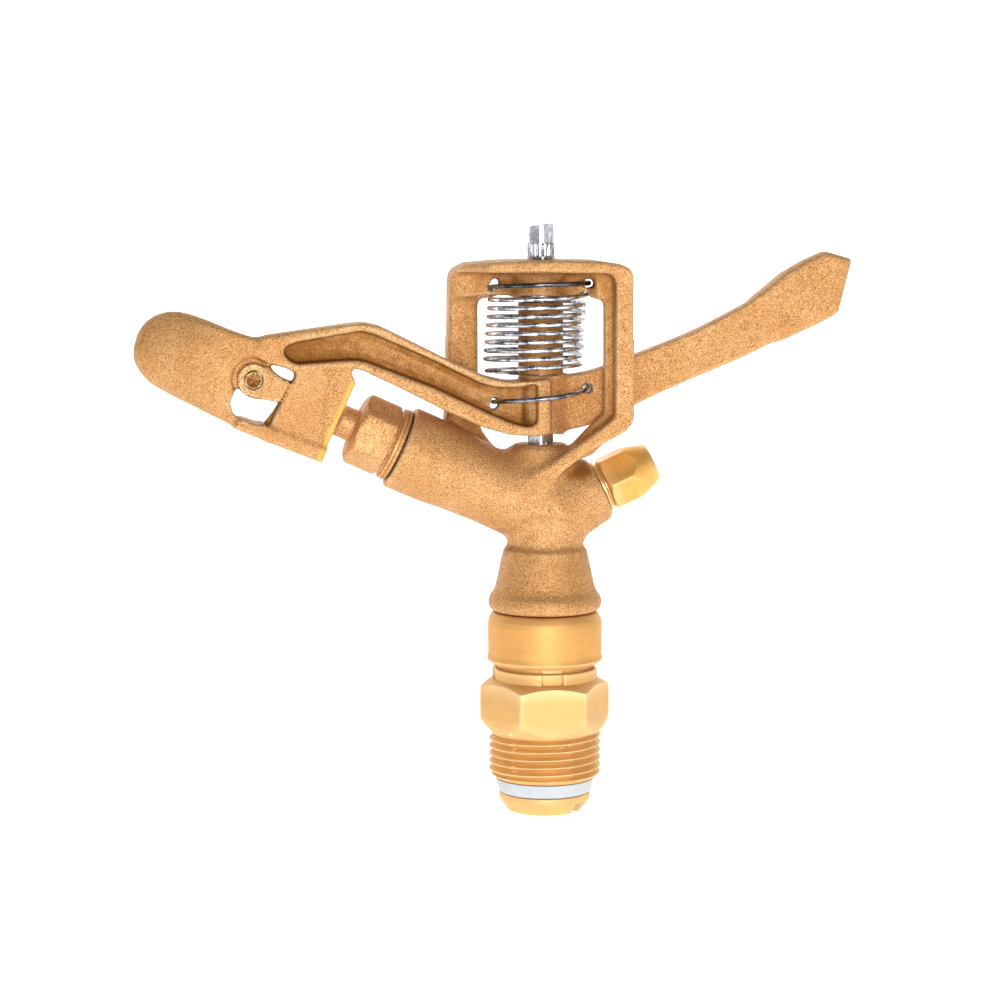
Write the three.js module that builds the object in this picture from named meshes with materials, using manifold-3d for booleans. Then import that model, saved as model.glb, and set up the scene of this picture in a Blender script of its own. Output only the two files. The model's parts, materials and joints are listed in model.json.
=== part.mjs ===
// Impact sprinkler, 3/4 inch male inlet, with a long range nozzle and a small spreader nozzle.
// Millimetres, +Z up. The origin is on the riser's axis at the foot of the rotating nipple.
// The range nozzle points along -X and up, the arm's counterweight tail along +X.
import * as THREE from "three";
import { mergeVertices } from "three/addons/utils/BufferGeometryUtils.js";
import Module from "manifold-3d";

const wasm = await Module();
wasm.setup();

// ---- Driving dimensions ----
const GAP = 0.2; // between pieces that touch on the real object
const ROUND = 28; // sides of a turned piece
const BORE = 6.6; // radius of the water way

const NIPPLE = { outer: 8.5, top: 58, flange: 10.85, flangeTop: 4.4, slotWidth: 2, slotDepth: 2.6 };
const THREAD = { major: 13.22, minor: 12.1, pitch: 1.814, start: 9.2, crests: 5 };
const NUT = { foot: 7.9, bore: 8.75, flats: 27, hexFoot: 19.2, hexTop: 31.4, collar: 12.4, collarTop: 34.2 };
const NECK = { radius: 11, top: 36.5 };
const COVER = { foot: 35.1, mouth: 11.5, lip: 13.7, wall: 13.5, top: 47.5, inner: 12.2, hole: 8.8 };
const BASE = { foot: 47.8, bore: 8.8, ridge: 62.3, ridgeRadius: 9.75 };

// The outlets: junction is the height at which an outlet's axis meets the riser's axis.
const BARREL = { junction: 71.3, tilt: 24.5, face: 37.8, mouth: 9.9, bore: 6.4, socket: 7.5, socketDepth: 9 };
const SPREADER = { junction: 70.6, tilt: 25, face: 14.2, mouth: 7.4, root: 9.4, bore: 4.3 };

const FULCRUM = -1.1; // X of the axis the arm swings about
const PIN = { radius: 3.15, foot: 80.6, hole: 3.35, flats: 6, knurlFoot: 131, knurlTop: 133.9, top: 138.9 };
const BOSS_TOP = 87.3;
const BRIDGE = { left: -22.4, right: 19, top: 130.2, windowTop: 121.8, rimFoot: 127.2, turn: -18 };
const LEG = { back: 12, front: -12.5, inner: 4.6 }; // distances of the two legs from the arm's plane

// The arm spring: its wire, how far the free coil leans sideways, and its heights across the front
const WIRE = { radius: 0.55, coil: 11.3, turns: 9, pitch: 1.965, driftFoot: -1.8, driftTop: -0.6 };
const STRAND = { arm: 98.6, first: 105.7, bridge: 124.8 };
const ARM = { front: -6.4, back: 2.8, plateFront: -2.6, plateBack: 2.4 };
const HUB = { radius: 5.1, bore: 4.15, foot: 89.8, top: 103.5 };
const SLEEVE = { radius: 5.3, top: 120.4 };

// ---- Materials ----
const material = (color, roughness, metalness) =>
  new THREE.MeshStandardMaterial({ color, roughness, metalness });
const castBronze = () => material(0xd8a565, 0.62, 0.75);
const turnedBrass = () => material(0xf2c069, 0.28, 0.95);
const steel = () => material(0xb4b8bc, 0.32, 0.95);
const whitePlastic = () => material(0xd7dadc, 0.5, 0);
const blackRubber = () => material(0x262626, 0.8, 0);

// ---- Solids ----
// A geometry as a manifold solid, turned to face out.
function solid(geometry) {
  const bare = geometry.index ? geometry.toNonIndexed() : geometry.clone();
  bare.deleteAttribute("normal");
  bare.deleteAttribute("uv");
  const merged = mergeVertices(bare, 1e-4);
  const make = (triVerts) =>
    new wasm.Manifold(
      new wasm.Mesh({ numProp: 3, vertProperties: merged.attributes.position.array, triVerts }),
    );
  const triangles = new Uint32Array(merged.index.array);
  const made = make(triangles);
  if (made.volume() > 0) return made;
  for (let i = 0; i < triangles.length; i += 3) {
    [triangles[i + 1], triangles[i + 2]] = [triangles[i + 2], triangles[i + 1]];
  }
  return make(triangles);
}

const join = (...solids) => solids.reduce((whole, next) => whole.add(next));
const cut = (whole, ...tools) => tools.reduce((rest, tool) => rest.subtract(tool), whole);

function geometryOf(made) {
  const mesh = made.getMesh();
  const geometry = new THREE.BufferGeometry();
  geometry.setAttribute("position", new THREE.BufferAttribute(Float32Array.from(mesh.vertProperties), 3));
  geometry.setIndex(new THREE.BufferAttribute(Uint32Array.from(mesh.triVerts), 1));
  geometry.computeVertexNormals();
  return geometry;
}

// A body of revolution about Z, from a closed profile of [radius, height] points.
function turned(profile, sides = ROUND) {
  const points = [...profile, profile[0]].map(([radius, height]) => new THREE.Vector2(radius, height));
  return solid(new THREE.LatheGeometry(points, sides).rotateX(Math.PI / 2));
}

const ring = (inner, outer, foot, top, sides) =>
  turned([[inner, foot], [outer, foot], [outer, top], [inner, top]], sides);
const rod = (radius, foot, top, sides = ROUND) =>
  solid(
    new THREE.CylinderGeometry(radius, radius, top - foot, sides)
      .rotateX(Math.PI / 2)
      .translate(0, 0, (foot + top) / 2),
  );
const box = (x, y, z) =>
  solid(
    new THREE.BoxGeometry(x[1] - x[0], y[1] - y[0], z[1] - z[0]).translate(
      (x[0] + x[1]) / 2,
      (y[0] + y[1]) / 2,
      (z[0] + z[1]) / 2,
    ),
  );

// A closed outline from [a, b, fillet] corners, with each fillet as a curve.
function outline(corners) {
  const shape = new THREE.Shape();
  corners.forEach(([a, b, fillet = 0], i) => {
    const here = new THREE.Vector2(a, b);
    const before = new THREE.Vector2(...corners.at(i - 1).slice(0, 2));
    const after = new THREE.Vector2(...corners[(i + 1) % corners.length].slice(0, 2));
    const enter = here.clone().add(before.sub(here).setLength(fillet));
    const leave = here.clone().add(after.sub(here).setLength(fillet));
    if (i === 0) shape.moveTo(enter.x, enter.y);
    else shape.lineTo(enter.x, enter.y);
    if (fillet) shape.quadraticCurveTo(a, b, leave.x, leave.y);
  });
  shape.closePath();
  return shape;
}

const extruded = (corners, depth) =>
  new THREE.ExtrudeGeometry(outline(corners), { depth, bevelEnabled: false, curveSegments: 4 });
// A prism whose section lies in the XZ plane, between two Y values.
const slab = (corners, front, back) =>
  solid(extruded(corners, back - front).rotateX(Math.PI / 2).translate(0, back, 0));
// A prism whose section lies in the XY plane, between two heights.
const plate = (corners, foot, top) => solid(extruded(corners, top - foot).translate(0, 0, foot));
// A six-sided prism about Z with a flat facing -Y.
const hexagon = (flats, foot, top) =>
  solid(
    new THREE.CylinderGeometry(flats / Math.sqrt(3), flats / Math.sqrt(3), top - foot, 6)
      .rotateX(Math.PI / 2)
      .rotateZ(Math.PI / 2)
      .translate(0, 0, (foot + top) / 2),
  );

// ---- Placing ----
const group = new THREE.Group();

function addPiece(name, made, look, parent = group) {
  const mesh = new THREE.Mesh(geometryOf(made), look);
  mesh.name = name;
  parent.add(mesh);
  return mesh;
}

// A group whose +Z runs along an outlet, from where its axis meets the riser's axis.
function outletGroup({ junction, tilt }, side) {
  const outlet = new THREE.Group();
  outlet.position.set(0, 0, junction);
  outlet.rotation.y = side * THREE.MathUtils.degToRad(90 - tilt);
  group.add(outlet);
  outlet.updateMatrixWorld(true);
  return outlet;
}
const rangeOutlet = outletGroup(BARREL, -1);
const spreaderOutlet = outletGroup(SPREADER, 1);
const alongOutlet = (made, outlet) => solid(geometryOf(made).applyMatrix4(outlet.matrixWorld));
const atFulcrum = (made) => made.translate([FULCRUM, 0, 0]);

// ---- Wire path of the arm's spring ----
// Height of the wire after a number of turns, counted where it crosses the front (-Y) side.
function wireHeight(turn) {
  if (turn < 0) return STRAND.arm + 6 * turn;
  if (turn < 1) return STRAND.arm + (STRAND.first - STRAND.arm) * (1 - (1 - turn) ** 1.25);
  if (turn < WIRE.turns) return STRAND.first + WIRE.pitch * (turn - 1);
  const last = STRAND.first + WIRE.pitch * (WIRE.turns - 1);
  return last + (STRAND.bridge - last) * Math.min(turn - WIRE.turns, 1);
}
// How far the coil's centre stands off the arm's axis after a number of turns.
function wireDrift(turn) {
  const { clamp, lerp } = THREE.MathUtils;
  if (turn < 1) return WIRE.driftFoot * clamp(turn, 0, 1);
  if (turn > WIRE.turns) return WIRE.driftTop * clamp(WIRE.turns + 1 - turn, 0, 1);
  return lerp(WIRE.driftFoot, WIRE.driftTop, (turn - 1) / (WIRE.turns - 1));
}

class WirePath extends THREE.Curve {
  constructor(from, to) {
    super();
    this.from = from;
    this.to = to;
  }
  getPoint(t, target = new THREE.Vector3()) {
    const turn = this.from + (this.to - this.from) * t;
    const angle = 2 * Math.PI * turn - Math.PI / 2;
    const centre = FULCRUM + wireDrift(turn);
    return target.set(centre + WIRE.coil * Math.cos(angle), WIRE.coil * Math.sin(angle), wireHeight(turn));
  }
}

function wire(radius, from, to, stepsPerTurn = 14, sides = 5) {
  const section = new THREE.Shape(
    Array.from({ length: sides }, (_, i) => {
      const angle = (2 * Math.PI * i) / sides;
      return new THREE.Vector2(radius * Math.cos(angle), radius * Math.sin(angle));
    }),
  );
  const steps = Math.round((to - from) * stepsPerTurn);
  const path = new WirePath(from, to);
  return solid(new THREE.ExtrudeGeometry(section, { steps, extrudePath: path, bevelEnabled: false }));
}
const WIRE_ENDS = [-0.31, WIRE.turns + 1.31];
const wireHoleRadius = WIRE.radius + 0.55;
const armWireHoles = wire(wireHoleRadius, WIRE_ENDS[0] - 0.02, 0.36);
const armWireRelief = wire(wireHoleRadius, 1.12, 1.38); // where the first free turn crosses the tail
const bridgeWireHoles = wire(wireHoleRadius, WIRE.turns + 0.02, WIRE_ENDS[1] + 0.02);

// ---- Inlet: fixed nut, rotating nipple and their washers ----
function threadProfile() {
  const profile = [[11.7, NUT.foot], [THREAD.major - 0.1, THREAD.start - 0.1]];
  for (let i = 0; i < THREAD.crests; i += 1) {
    const foot = THREAD.start + i * THREAD.pitch;
    profile.push(
      [THREAD.major, foot + 0.15],
      [THREAD.major, foot + 0.35],
      [THREAD.minor, foot + 1],
      [THREAD.minor, foot + 1.2],
    );
  }
  return profile;
}

const hexChamfer = turned([
  [1, NUT.hexFoot],
  [13.2, NUT.hexFoot],
  [15.7, 22.1],
  [15.7, 29.9],
  [12.5, NUT.hexTop + 0.6],
  [1, NUT.hexTop + 0.6],
]);
const nutBlank = turned([
  [NUT.bore, NUT.foot],
  ...threadProfile(),
  [12.3, NUT.hexFoot],
  [13, NUT.hexFoot + 0.1],
  [13, NUT.hexTop - 0.4],
  [NUT.collar, NUT.hexTop - 0.3],
  [NUT.collar, NUT.collarTop],
  [NECK.radius, NUT.collarTop],
  [NECK.radius, NECK.top],
  [NUT.bore, NECK.top],
]);
const nutBore = rod(NUT.bore, NUT.foot - 1, NECK.top + 1);
const hexBody = cut(hexagon(NUT.flats, NUT.hexFoot, NUT.hexTop).intersect(hexChamfer), nutBore);
addPiece("bearing_nut", join(nutBlank, hexBody), turnedBrass());

const nippleTube = turned([
  [BORE, 0],
  [8.76, 0],
  [NIPPLE.flange, 3],
  [NIPPLE.flange, NIPPLE.flangeTop],
  [NIPPLE.outer, NIPPLE.flangeTop],
  [NIPPLE.outer, NIPPLE.top],
  [BORE, NIPPLE.top],
]);
const driverSlot = solid(
  new THREE.BoxGeometry(2.5 * NIPPLE.flange, NIPPLE.slotWidth, 2 * NIPPLE.slotDepth).rotateZ(-Math.PI / 4),
);
addPiece("nipple_tube", cut(nippleTube, driverSlot), turnedBrass());

const sealFoot = NIPPLE.flangeTop + GAP;
const sealTop = NUT.foot - GAP;
const wearWasherFoot = 6.7;
const sealProfile = [
  [NIPPLE.outer + GAP, sealFoot],
  [10.9, sealFoot],
  [11.7, sealTop],
  [10.6, sealTop],
  [10.6, wearWasherFoot - GAP],
  [NIPPLE.outer + GAP, wearWasherFoot - GAP],
];
addPiece("lower_seal_washer", turned(sealProfile), whitePlastic());
addPiece("wear_washer", ring(NIPPLE.outer + GAP, 10.4, wearWasherFoot, sealTop), turnedBrass());

// ---- Bearing spring under its cover ----
const SPRING = { coil: 10, radius: 0.65, turns: 3.5, foot: 38, top: 43.8 };
addPiece("spring_seat_washer", ring(8.9, NECK.radius, NECK.top + GAP, 37.3), steel());
addPiece("spring_top_washer", ring(8.9, NECK.radius + 0.6, 44.6, 45.2), steel());
addPiece("sand_seal", ring(8.7, COVER.inner - GAP, 45.4, 46.1), blackRubber());

class SpringPath extends THREE.Curve {
  getPoint(t, target = new THREE.Vector3()) {
    const angle = 2 * Math.PI * SPRING.turns * t;
    const height = SPRING.foot + (SPRING.top - SPRING.foot) * t;
    return target.set(SPRING.coil * Math.cos(angle), SPRING.coil * Math.sin(angle), height);
  }
}
const springSection = new THREE.Shape().absarc(0, 0, SPRING.radius, 0, 2 * Math.PI);
const springGeometry = new THREE.ExtrudeGeometry(springSection, {
  steps: 42,
  curveSegments: 2,
  extrudePath: new SpringPath(),
  bevelEnabled: false,
});
addPiece("bearing_spring", solid(springGeometry), steel());

const coverProfile = [
  [COVER.mouth, COVER.foot],
  [COVER.lip, 36.3],
  [COVER.wall - 0.1, 36.9],
  [COVER.wall, 44.8],
  [13.2, 46.3],
  [12.4, COVER.top - 0.1],
  [11.9, COVER.top],
  [COVER.hole, COVER.top],
  [COVER.hole, 46.3],
  [COVER.inner, 46.3],
  [COVER.inner, 36.8],
  [COVER.mouth, 36.4],
];
addPiece("spring_cover", turned(coverProfile), turnedBrass());

// ---- Body casting ----
const base = turned([
  [0, BASE.foot],
  [12.3, BASE.foot],
  [13.1, 48.4],
  [13.4, 49.7],
  [13, 51.2],
  [11.9, 52.4],
  [11.5, 53.3],
  [BASE.ridgeRadius, BASE.ridge],
  [9, 63.4],
  [9, 68],
  [8, 73.6],
  [0, 75.6],
]);
const barrel = turned([
  [0, -4],
  [7, -4],
  [9.2, 6],
  [9.1, 16],
  [9.4, 22.9],
  [9.3, 23.1],
  [9.9, 29],
  [BARREL.mouth, BARREL.face - 0.6],
  [BARREL.mouth - 0.6, BARREL.face],
  [0, BARREL.face],
]);
const spreaderBoss = turned([
  [0, -3],
  [7, -3],
  [SPREADER.root, 3],
  [SPREADER.mouth + 0.3, SPREADER.face - 0.5],
  [SPREADER.mouth - 0.2, SPREADER.face],
  [0, SPREADER.face],
]);
const pinBoss = atFulcrum(
  turned([[0, 72], [9.6, 72], [8.6, 78], [7.4, 84], [6.6, BOSS_TOP - 0.6], [5.6, BOSS_TOP], [0, BOSS_TOP]]),
);

const leftLegOutline = [
  [BRIDGE.left + 0.3, BRIDGE.top, 3.6],
  [-12, BRIDGE.top],
  [-12, BRIDGE.windowTop],
  [-15.3, BRIDGE.windowTop, 2.4],
  [-15.2, 98],
  [-14.4, 89.6],
  [-9, 82.4],
  [-12, 76],
  [-22, 78],
  [-23.2, 90],
  [-22.6, 98],
];
const rightLegOutline = [
  [12, BRIDGE.top],
  [BRIDGE.right, BRIDGE.top - 0.2, 3.2],
  [BRIDGE.right, 91.4, 2.6],
  [8.6, 86.2],
  [3.2, 81.7],
  [-3, 76],
  [-5, 79.6],
  [14.6, 94, 1.2],
  [14.8, BRIDGE.rimFoot],
  [12, BRIDGE.rimFoot],
];
const rightWebOutline = [
  [12, BRIDGE.rimFoot],
  [12, BRIDGE.windowTop],
  [12.9, BRIDGE.windowTop, 0.8],
  [12.9, 94.6],
  [9, 91],
  [6.6, 88.4],
  [5, 84],
  [17, 92],
  [17, BRIDGE.rimFoot],
];
const leftLeg = slab(leftLegOutline, LEG.inner, LEG.back);
const rightWeb = slab(rightWebOutline, -7.4, -LEG.inner + 0.4);
// The right leg's foot thins out where it runs down the front of the body.
const footTaper = solid(
  new THREE.BoxGeometry(40, 20, 60).translate(-20, -10, 0).rotateZ(THREE.MathUtils.degToRad(-22)),
).translate([14, LEG.front, 90]);
const rightLeg = cut(slab(rightLegOutline, LEG.front, -LEG.inner + 0.4), footTaper);

const rimPlan = [
  [BRIDGE.left + 0.3, LEG.back, 3],
  [BRIDGE.left + 0.3, 1.5, 3],
  [-14, -7, 4],
  [2, -10.6, 4],
  [12, LEG.front, 3],
  [BRIDGE.right, LEG.front, 1],
  [BRIDGE.right, -3.2, 2],
  [13, 6.5, 4],
  [-6, 11, 4],
];
const crown = slab(
  [[-24, 126], [22, 126], [22, 128.9], [12, BRIDGE.top], [-10, BRIDGE.top], [-18, 129.5], [-24, 127]],
  -20,
  20,
);
const bridgeCorner = slab(
  [
    [BRIDGE.left + 0.3, 120],
    [BRIDGE.left + 0.3, BRIDGE.top + 1, 5.4],
    [BRIDGE.right, BRIDGE.top + 1, 4],
    [BRIDGE.right, 120],
  ],
  -20,
  20,
);
const rim = plate(rimPlan, BRIDGE.rimFoot, BRIDGE.top + 0.5).intersect(crown).intersect(bridgeCorner);
const turnRadians = THREE.MathUtils.degToRad(BRIDGE.turn);
const webLimits = box(
  [BRIDGE.left + 1, BRIDGE.right - 1],
  [LEG.front + 2, LEG.back],
  [BRIDGE.windowTop, BRIDGE.top - 0.2],
);
const webPlate = solid(
  new THREE.BoxGeometry(50, 5, 8).rotateZ(turnRadians).translate(0, 0, BRIDGE.windowTop + 4),
).intersect(webLimits);
const webBar = join(webPlate, atFulcrum(rod(6.4, BRIDGE.windowTop, 129.5)));

const rangeWay = alongOutlet(rod(BARREL.bore, 0, BARREL.face + 1), rangeOutlet);
const rangeSocket = alongOutlet(
  rod(BARREL.socket, BARREL.face - BARREL.socketDepth, BARREL.face + 1),
  rangeOutlet,
);
const spreaderWay = alongOutlet(rod(3, 0, SPREADER.face), spreaderOutlet);
const spreaderSocket = alongOutlet(rod(SPREADER.bore, 7.5, SPREADER.face + 1), spreaderOutlet);
const riserWay = rod(BORE, BASE.foot, SPREADER.junction + 1);
const baseSocket = rod(BASE.bore, BASE.foot - 1, NIPPLE.top + GAP);
const pinHole = atFulcrum(rod(PIN.hole, PIN.foot - 0.3, BRIDGE.top + 2));

const bodyMetal = join(
  base,
  alongOutlet(barrel, rangeOutlet),
  alongOutlet(spreaderBoss, spreaderOutlet),
  pinBoss,
  leftLeg,
  rightLeg,
  rightWeb,
  rim,
  webBar,
);
const bodyCasting = cut(
  bodyMetal,
  rangeWay,
  rangeSocket,
  spreaderWay,
  spreaderSocket,
  riserWay,
  baseSocket,
  pinHole,
  bridgeWireHoles,
);
addPiece("body_casting", bodyCasting, castBronze());

// ---- Fulcrum pin ----
const pinBlank = turned([
  [0, PIN.foot],
  [PIN.radius - 0.5, PIN.foot],
  [PIN.radius, PIN.foot + 0.5],
  [PIN.radius, PIN.knurlTop],
  [0, PIN.knurlTop],
]);
const pinHex = (foot, top) => hexagon(PIN.flats, foot, top).rotate([0, 0, 24]);
const knurlGrooves = Array.from({ length: 14 }, (_, i) =>
  solid(
    new THREE.BoxGeometry(0.5, 0.7, PIN.knurlTop - PIN.knurlFoot + 0.2)
      .translate(PIN.radius, 0, (PIN.knurlFoot + PIN.knurlTop) / 2)
      .rotateZ((2 * Math.PI * i) / 14),
  ),
);
const slantedEnd = solid(
  new THREE.BoxGeometry(12, 12, 4).translate(0, 0, 2).rotateY(THREE.MathUtils.degToRad(-8)),
).translate([0, 0, PIN.top - 0.5]);
const collarTop = HUB.foot + GAP;
const pinHeadRound = rod(PIN.radius + 0.1, PIN.knurlTop, PIN.top + 1);
const pinHead = pinHex(PIN.knurlTop, PIN.top + 1).intersect(pinHeadRound);
const pinMetal = join(
  cut(pinBlank, ...knurlGrooves),
  pinHex(BOSS_TOP + GAP, collarTop),
  cut(pinHead, slantedEnd),
);
addPiece("fulcrum_pin", atFulcrum(pinMetal), steel());
const thrustTop = collarTop + GAP + 0.6;
const thrustWasher = ring(PIN.radius + 0.15, HUB.bore - 0.1, collarTop + GAP, thrustTop);
addPiece("arm_thrust_washer", atFulcrum(thrustWasher), steel());

// ---- Range nozzle, gasket and stream straightener, along the barrel ----
const NOZZLE = { stemFoot: 30, stem: 7.2, collarFoot: 38.8, flats: 15.4, hexFoot: 40.6, hexTop: 49.4 };
const TIP = { radius: 3.8, top: 53.2, orifice: 2.3 };
const nozzleBlank = turned([
  [5, NOZZLE.stemFoot],
  [NOZZLE.stem, NOZZLE.stemFoot],
  [NOZZLE.stem, NOZZLE.collarFoot],
  [8.8, NOZZLE.collarFoot],
  [8.8, NOZZLE.collarFoot + 0.9],
  [7.8, NOZZLE.collarFoot + 1],
  [7.8, NOZZLE.hexFoot + 0.3],
  [5, NOZZLE.hexTop - 0.3],
  [TIP.radius + 0.3, NOZZLE.hexTop],
  [TIP.radius, NOZZLE.hexTop + 0.6],
  [TIP.radius, TIP.top],
  [TIP.orifice, TIP.top],
]);
const nozzleHexChamfer = turned([
  [0, NOZZLE.hexFoot],
  [8.2, NOZZLE.hexFoot],
  [9, NOZZLE.hexFoot + 0.9],
  [9, NOZZLE.hexTop - 1.4],
  [7.2, NOZZLE.hexTop],
  [0, NOZZLE.hexTop],
]);
const nozzleWay = turned([
  [0, NOZZLE.stemFoot - 1],
  [5.2, NOZZLE.stemFoot - 1],
  [4.6, 41],
  [TIP.orifice, 49.5],
  [TIP.orifice, TIP.top + 1],
  [0, TIP.top + 1],
]);
const nozzleHex = hexagon(NOZZLE.flats, NOZZLE.hexFoot, NOZZLE.hexTop).intersect(nozzleHexChamfer);
addPiece("range_nozzle", cut(join(nozzleBlank, nozzleHex), nozzleWay), castBronze(), rangeOutlet);
const rangeGasket = ring(7.4, 8.5, BARREL.face + GAP, NOZZLE.collarFoot - GAP);
addPiece("range_gasket", rangeGasket, blackRubber(), rangeOutlet);

const straightenerBlades = [0, 1].map((i) =>
  solid(new THREE.BoxGeometry(12.2, 0.7, 12).rotateZ(Math.PI / 4 + (i * Math.PI) / 2).translate(0, 0, 20)),
);
addPiece("stream_straightener", join(...straightenerBlades), turnedBrass(), rangeOutlet);

// ---- Spreader nozzle ----
const PLUG = { stemFoot: 8, collarFoot: 15.2, hexFoot: 15.8, hexTop: 22, flats: 11.8, tip: 28.1, nose: 4.5 };
const spreaderWasher = ring(4.3, 6.3, SPREADER.face + GAP, PLUG.collarFoot - GAP);
addPiece("spreader_washer", spreaderWasher, turnedBrass(), spreaderOutlet);
const plugBlank = turned([
  [0, PLUG.stemFoot],
  [4, PLUG.stemFoot],
  [4, PLUG.collarFoot],
  [5.4, PLUG.collarFoot],
  [5.4, PLUG.hexFoot + 0.2],
  [PLUG.nose, PLUG.hexFoot + 0.2],
  [PLUG.nose, PLUG.tip],
  [0, PLUG.tip],
]);
const plugCone = turned([
  [0, PLUG.hexFoot],
  [6, PLUG.hexFoot],
  [6.7, PLUG.hexFoot + 0.7],
  [6.7, PLUG.hexTop],
  [PLUG.nose, PLUG.tip - 0.3],
  [0, PLUG.tip - 0.3],
]);
const plugWay = turned([
  [0, PLUG.stemFoot - 1],
  [2.6, PLUG.stemFoot - 1],
  [2.6, 22],
  [1.3, 24],
  [1.3, 26.6],
  [2.6, PLUG.tip + 0.1],
  [2.6, PLUG.tip + 1],
  [0, PLUG.tip + 1],
]);
const plugHex = hexagon(PLUG.flats, PLUG.hexFoot, PLUG.tip - 0.3).rotate([0, 0, 30]).intersect(plugCone);
addPiece("spreader_nozzle", cut(join(plugBlank, plugHex), plugWay), turnedBrass(), spreaderOutlet);

// ---- Arm casting ----
// A curved plate between a top and a bottom edge, both drawn from the vane to the spoon's tip.
// surfaceAt gives the Y of the face from x and from the place across, -1 at the bottom to 1 at the top.
function curvedPlate(topEdge, bottomEdge, surfaceAt, thickness, columns, rows) {
  const corner = (i, j, depth) => {
    const top = topEdge.getPointAt(i / columns);
    const bottom = bottomEdge.getPointAt(i / columns);
    const x = THREE.MathUtils.lerp(bottom.x, top.x, j / rows);
    const z = THREE.MathUtils.lerp(bottom.y, top.y, j / rows);
    return [x, surfaceAt(x, (2 * j) / rows - 1) + depth, z];
  };
  const positions = [];
  const quad = (a, b, c, d) => positions.push(...a, ...b, ...c, ...a, ...c, ...d);
  for (let i = 0; i < columns; i += 1) {
    for (let j = 0; j < rows; j += 1) {
      quad(corner(i, j, 0), corner(i + 1, j, 0), corner(i + 1, j + 1, 0), corner(i, j + 1, 0));
      const back = [corner(i, j + 1, thickness), corner(i + 1, j + 1, thickness)];
      quad(...back, corner(i + 1, j, thickness), corner(i, j, thickness));
    }
    quad(corner(i, 0, thickness), corner(i + 1, 0, thickness), corner(i + 1, 0, 0), corner(i, 0, 0));
    const topBack = [corner(i + 1, rows, thickness), corner(i, rows, thickness)];
    quad(corner(i, rows, 0), corner(i + 1, rows, 0), ...topBack);
  }
  for (let j = 0; j < rows; j += 1) {
    quad(corner(0, j, thickness), corner(0, j, 0), corner(0, j + 1, 0), corner(0, j + 1, thickness));
    const tip = [corner(columns, j, 0), corner(columns, j, thickness)];
    quad(...tip, corner(columns, j + 1, thickness), corner(columns, j + 1, 0));
  }
  const geometry = new THREE.BufferGeometry();
  geometry.setAttribute("position", new THREE.Float32BufferAttribute(positions, 3));
  return solid(geometry);
}

const curveThrough = (points) => new THREE.SplineCurve(points.map(([x, z]) => new THREE.Vector2(x, z)));
const SPOON = { front: -6.2, thickness: 3.4, bendStart: -70, bend: 0.0145, crown: 2.6 };
const spoonTop = curveThrough([
  [-50, 114.6],
  [-58, 113.6],
  [-67, 112.9],
  [-74, 115],
  [-83.5, 118.4],
  [-89.6, 117.9],
  [-94, 114.6],
  [-95.4, 110.4],
]);
const spoonBottom = curveThrough([
  [-53, 84.4],
  [-62.3, 88],
  [-71.7, 91.8],
  [-81.1, 96.4],
  [-87.6, 99.6],
  [-92, 102.2],
  [-95, 106],
  [-95.5, 108.4],
]);
function spoonSurface(x, across) {
  const bent = Math.max(0, SPOON.bendStart - x);
  const crowned = Math.min(1, bent / 12);
  return SPOON.front + SPOON.bend * bent * bent + SPOON.crown * crowned * (across * across - 0.4);
}
const spoon = curvedPlate(spoonTop, spoonBottom, spoonSurface, SPOON.thickness, 18, 6);

const upperWindow = [
  [-67, 107.5, 0.6],
  [-61.2, 105.4],
  [-59.3, 104.2, 0.5],
  [-59.6, 102.8, 0.3],
  [-62.7, 103.9],
  [-64.6, 105.8],
];
const lowerWindow = [
  [-72.2, 101.2],
  [-73.7, 98, 1],
  [-72.7, 94.9, 1.5],
  [-66.4, 92.9, 0.6],
  [-62.4, 98.3, 0.3],
  [-67.6, 98.7],
  [-70.6, 99.4],
];
const beamOutline = [
  [0.4, 102.9],
  [-6, 102.2],
  [-13.4, 102.8, 3],
  [-23.1, 107.2],
  [-40.8, 116, 3],
  [-57.5, 114.2],
  [-65, 113.2, 3],
  [-65, 106.6, 3],
  [-58.9, 105.5],
  [-45.8, 105.7],
  [-42.6, 104.6, 1],
  [-34, 100.6],
  [-24.5, 95.6],
  [-15.1, 91.4],
  [-9.2, 89.8, 3],
  [0.4, 89.8],
];
const channelOutline = [
  [-61.4, 109.2, 2],
  [-58.3, 111.5, 1],
  [-42.3, 113.6, 3],
  [-26.9, 106.8],
  [-14, 100.8, 3],
  [-8, 100.4],
  [-2.7, 101.2, 0.8],
  [-2.7, 92.5, 1.5],
  [-5.5, 92.3, 1],
  [-13.7, 95.3],
  [-26.9, 101.7],
  [-44.2, 108, 4],
  [-59, 106.9, 1],
];
const tailOutline = [
  [2, 103.2],
  [9.2, 104.2],
  [14, 105.5],
  [21.2, 108],
  [34.1, 113],
  [44.2, 117.9],
  [50.6, 121.7],
  [57.4, 126.9],
  [67.2, 131.7, 1],
  [72.6, 129.9, 1],
  [69.4, 117.5, 1],
  [65.1, 115.4],
  [55.7, 111.2],
  [46.2, 106.9],
  [36.8, 103.1],
  [27.4, 99.1],
  [22.6, 96.9],
  [14.2, 92.9],
  [2, 89.9],
];
const counterweightOutline = [
  [50, 119],
  [57.4, 126.9],
  [67.2, 131.7, 1],
  [72.6, 129.9, 1],
  [69.4, 117.5, 1],
  [55.7, 111.2, 3],
];
const vaneOutline = [
  [-53.1, 84.2],
  [-44.9, 102.2],
  [-45.8, 103.4],
  [-46.2, 106.8],
  [-58, 107],
  [-58.7, 103.4],
  [-65.2, 92.8],
  [-66.4, 89.5],
];
const lowerRail = [
  [-53.1, 84.2],
  [-51.8, 87],
  [-64.4, 92.2],
  [-72, 95.2],
  [-73, 92.2],
];
const vaneFront = -6.6;
const vanePlate = slab(vaneOutline, vaneFront + 0.8, -2.4);
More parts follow.
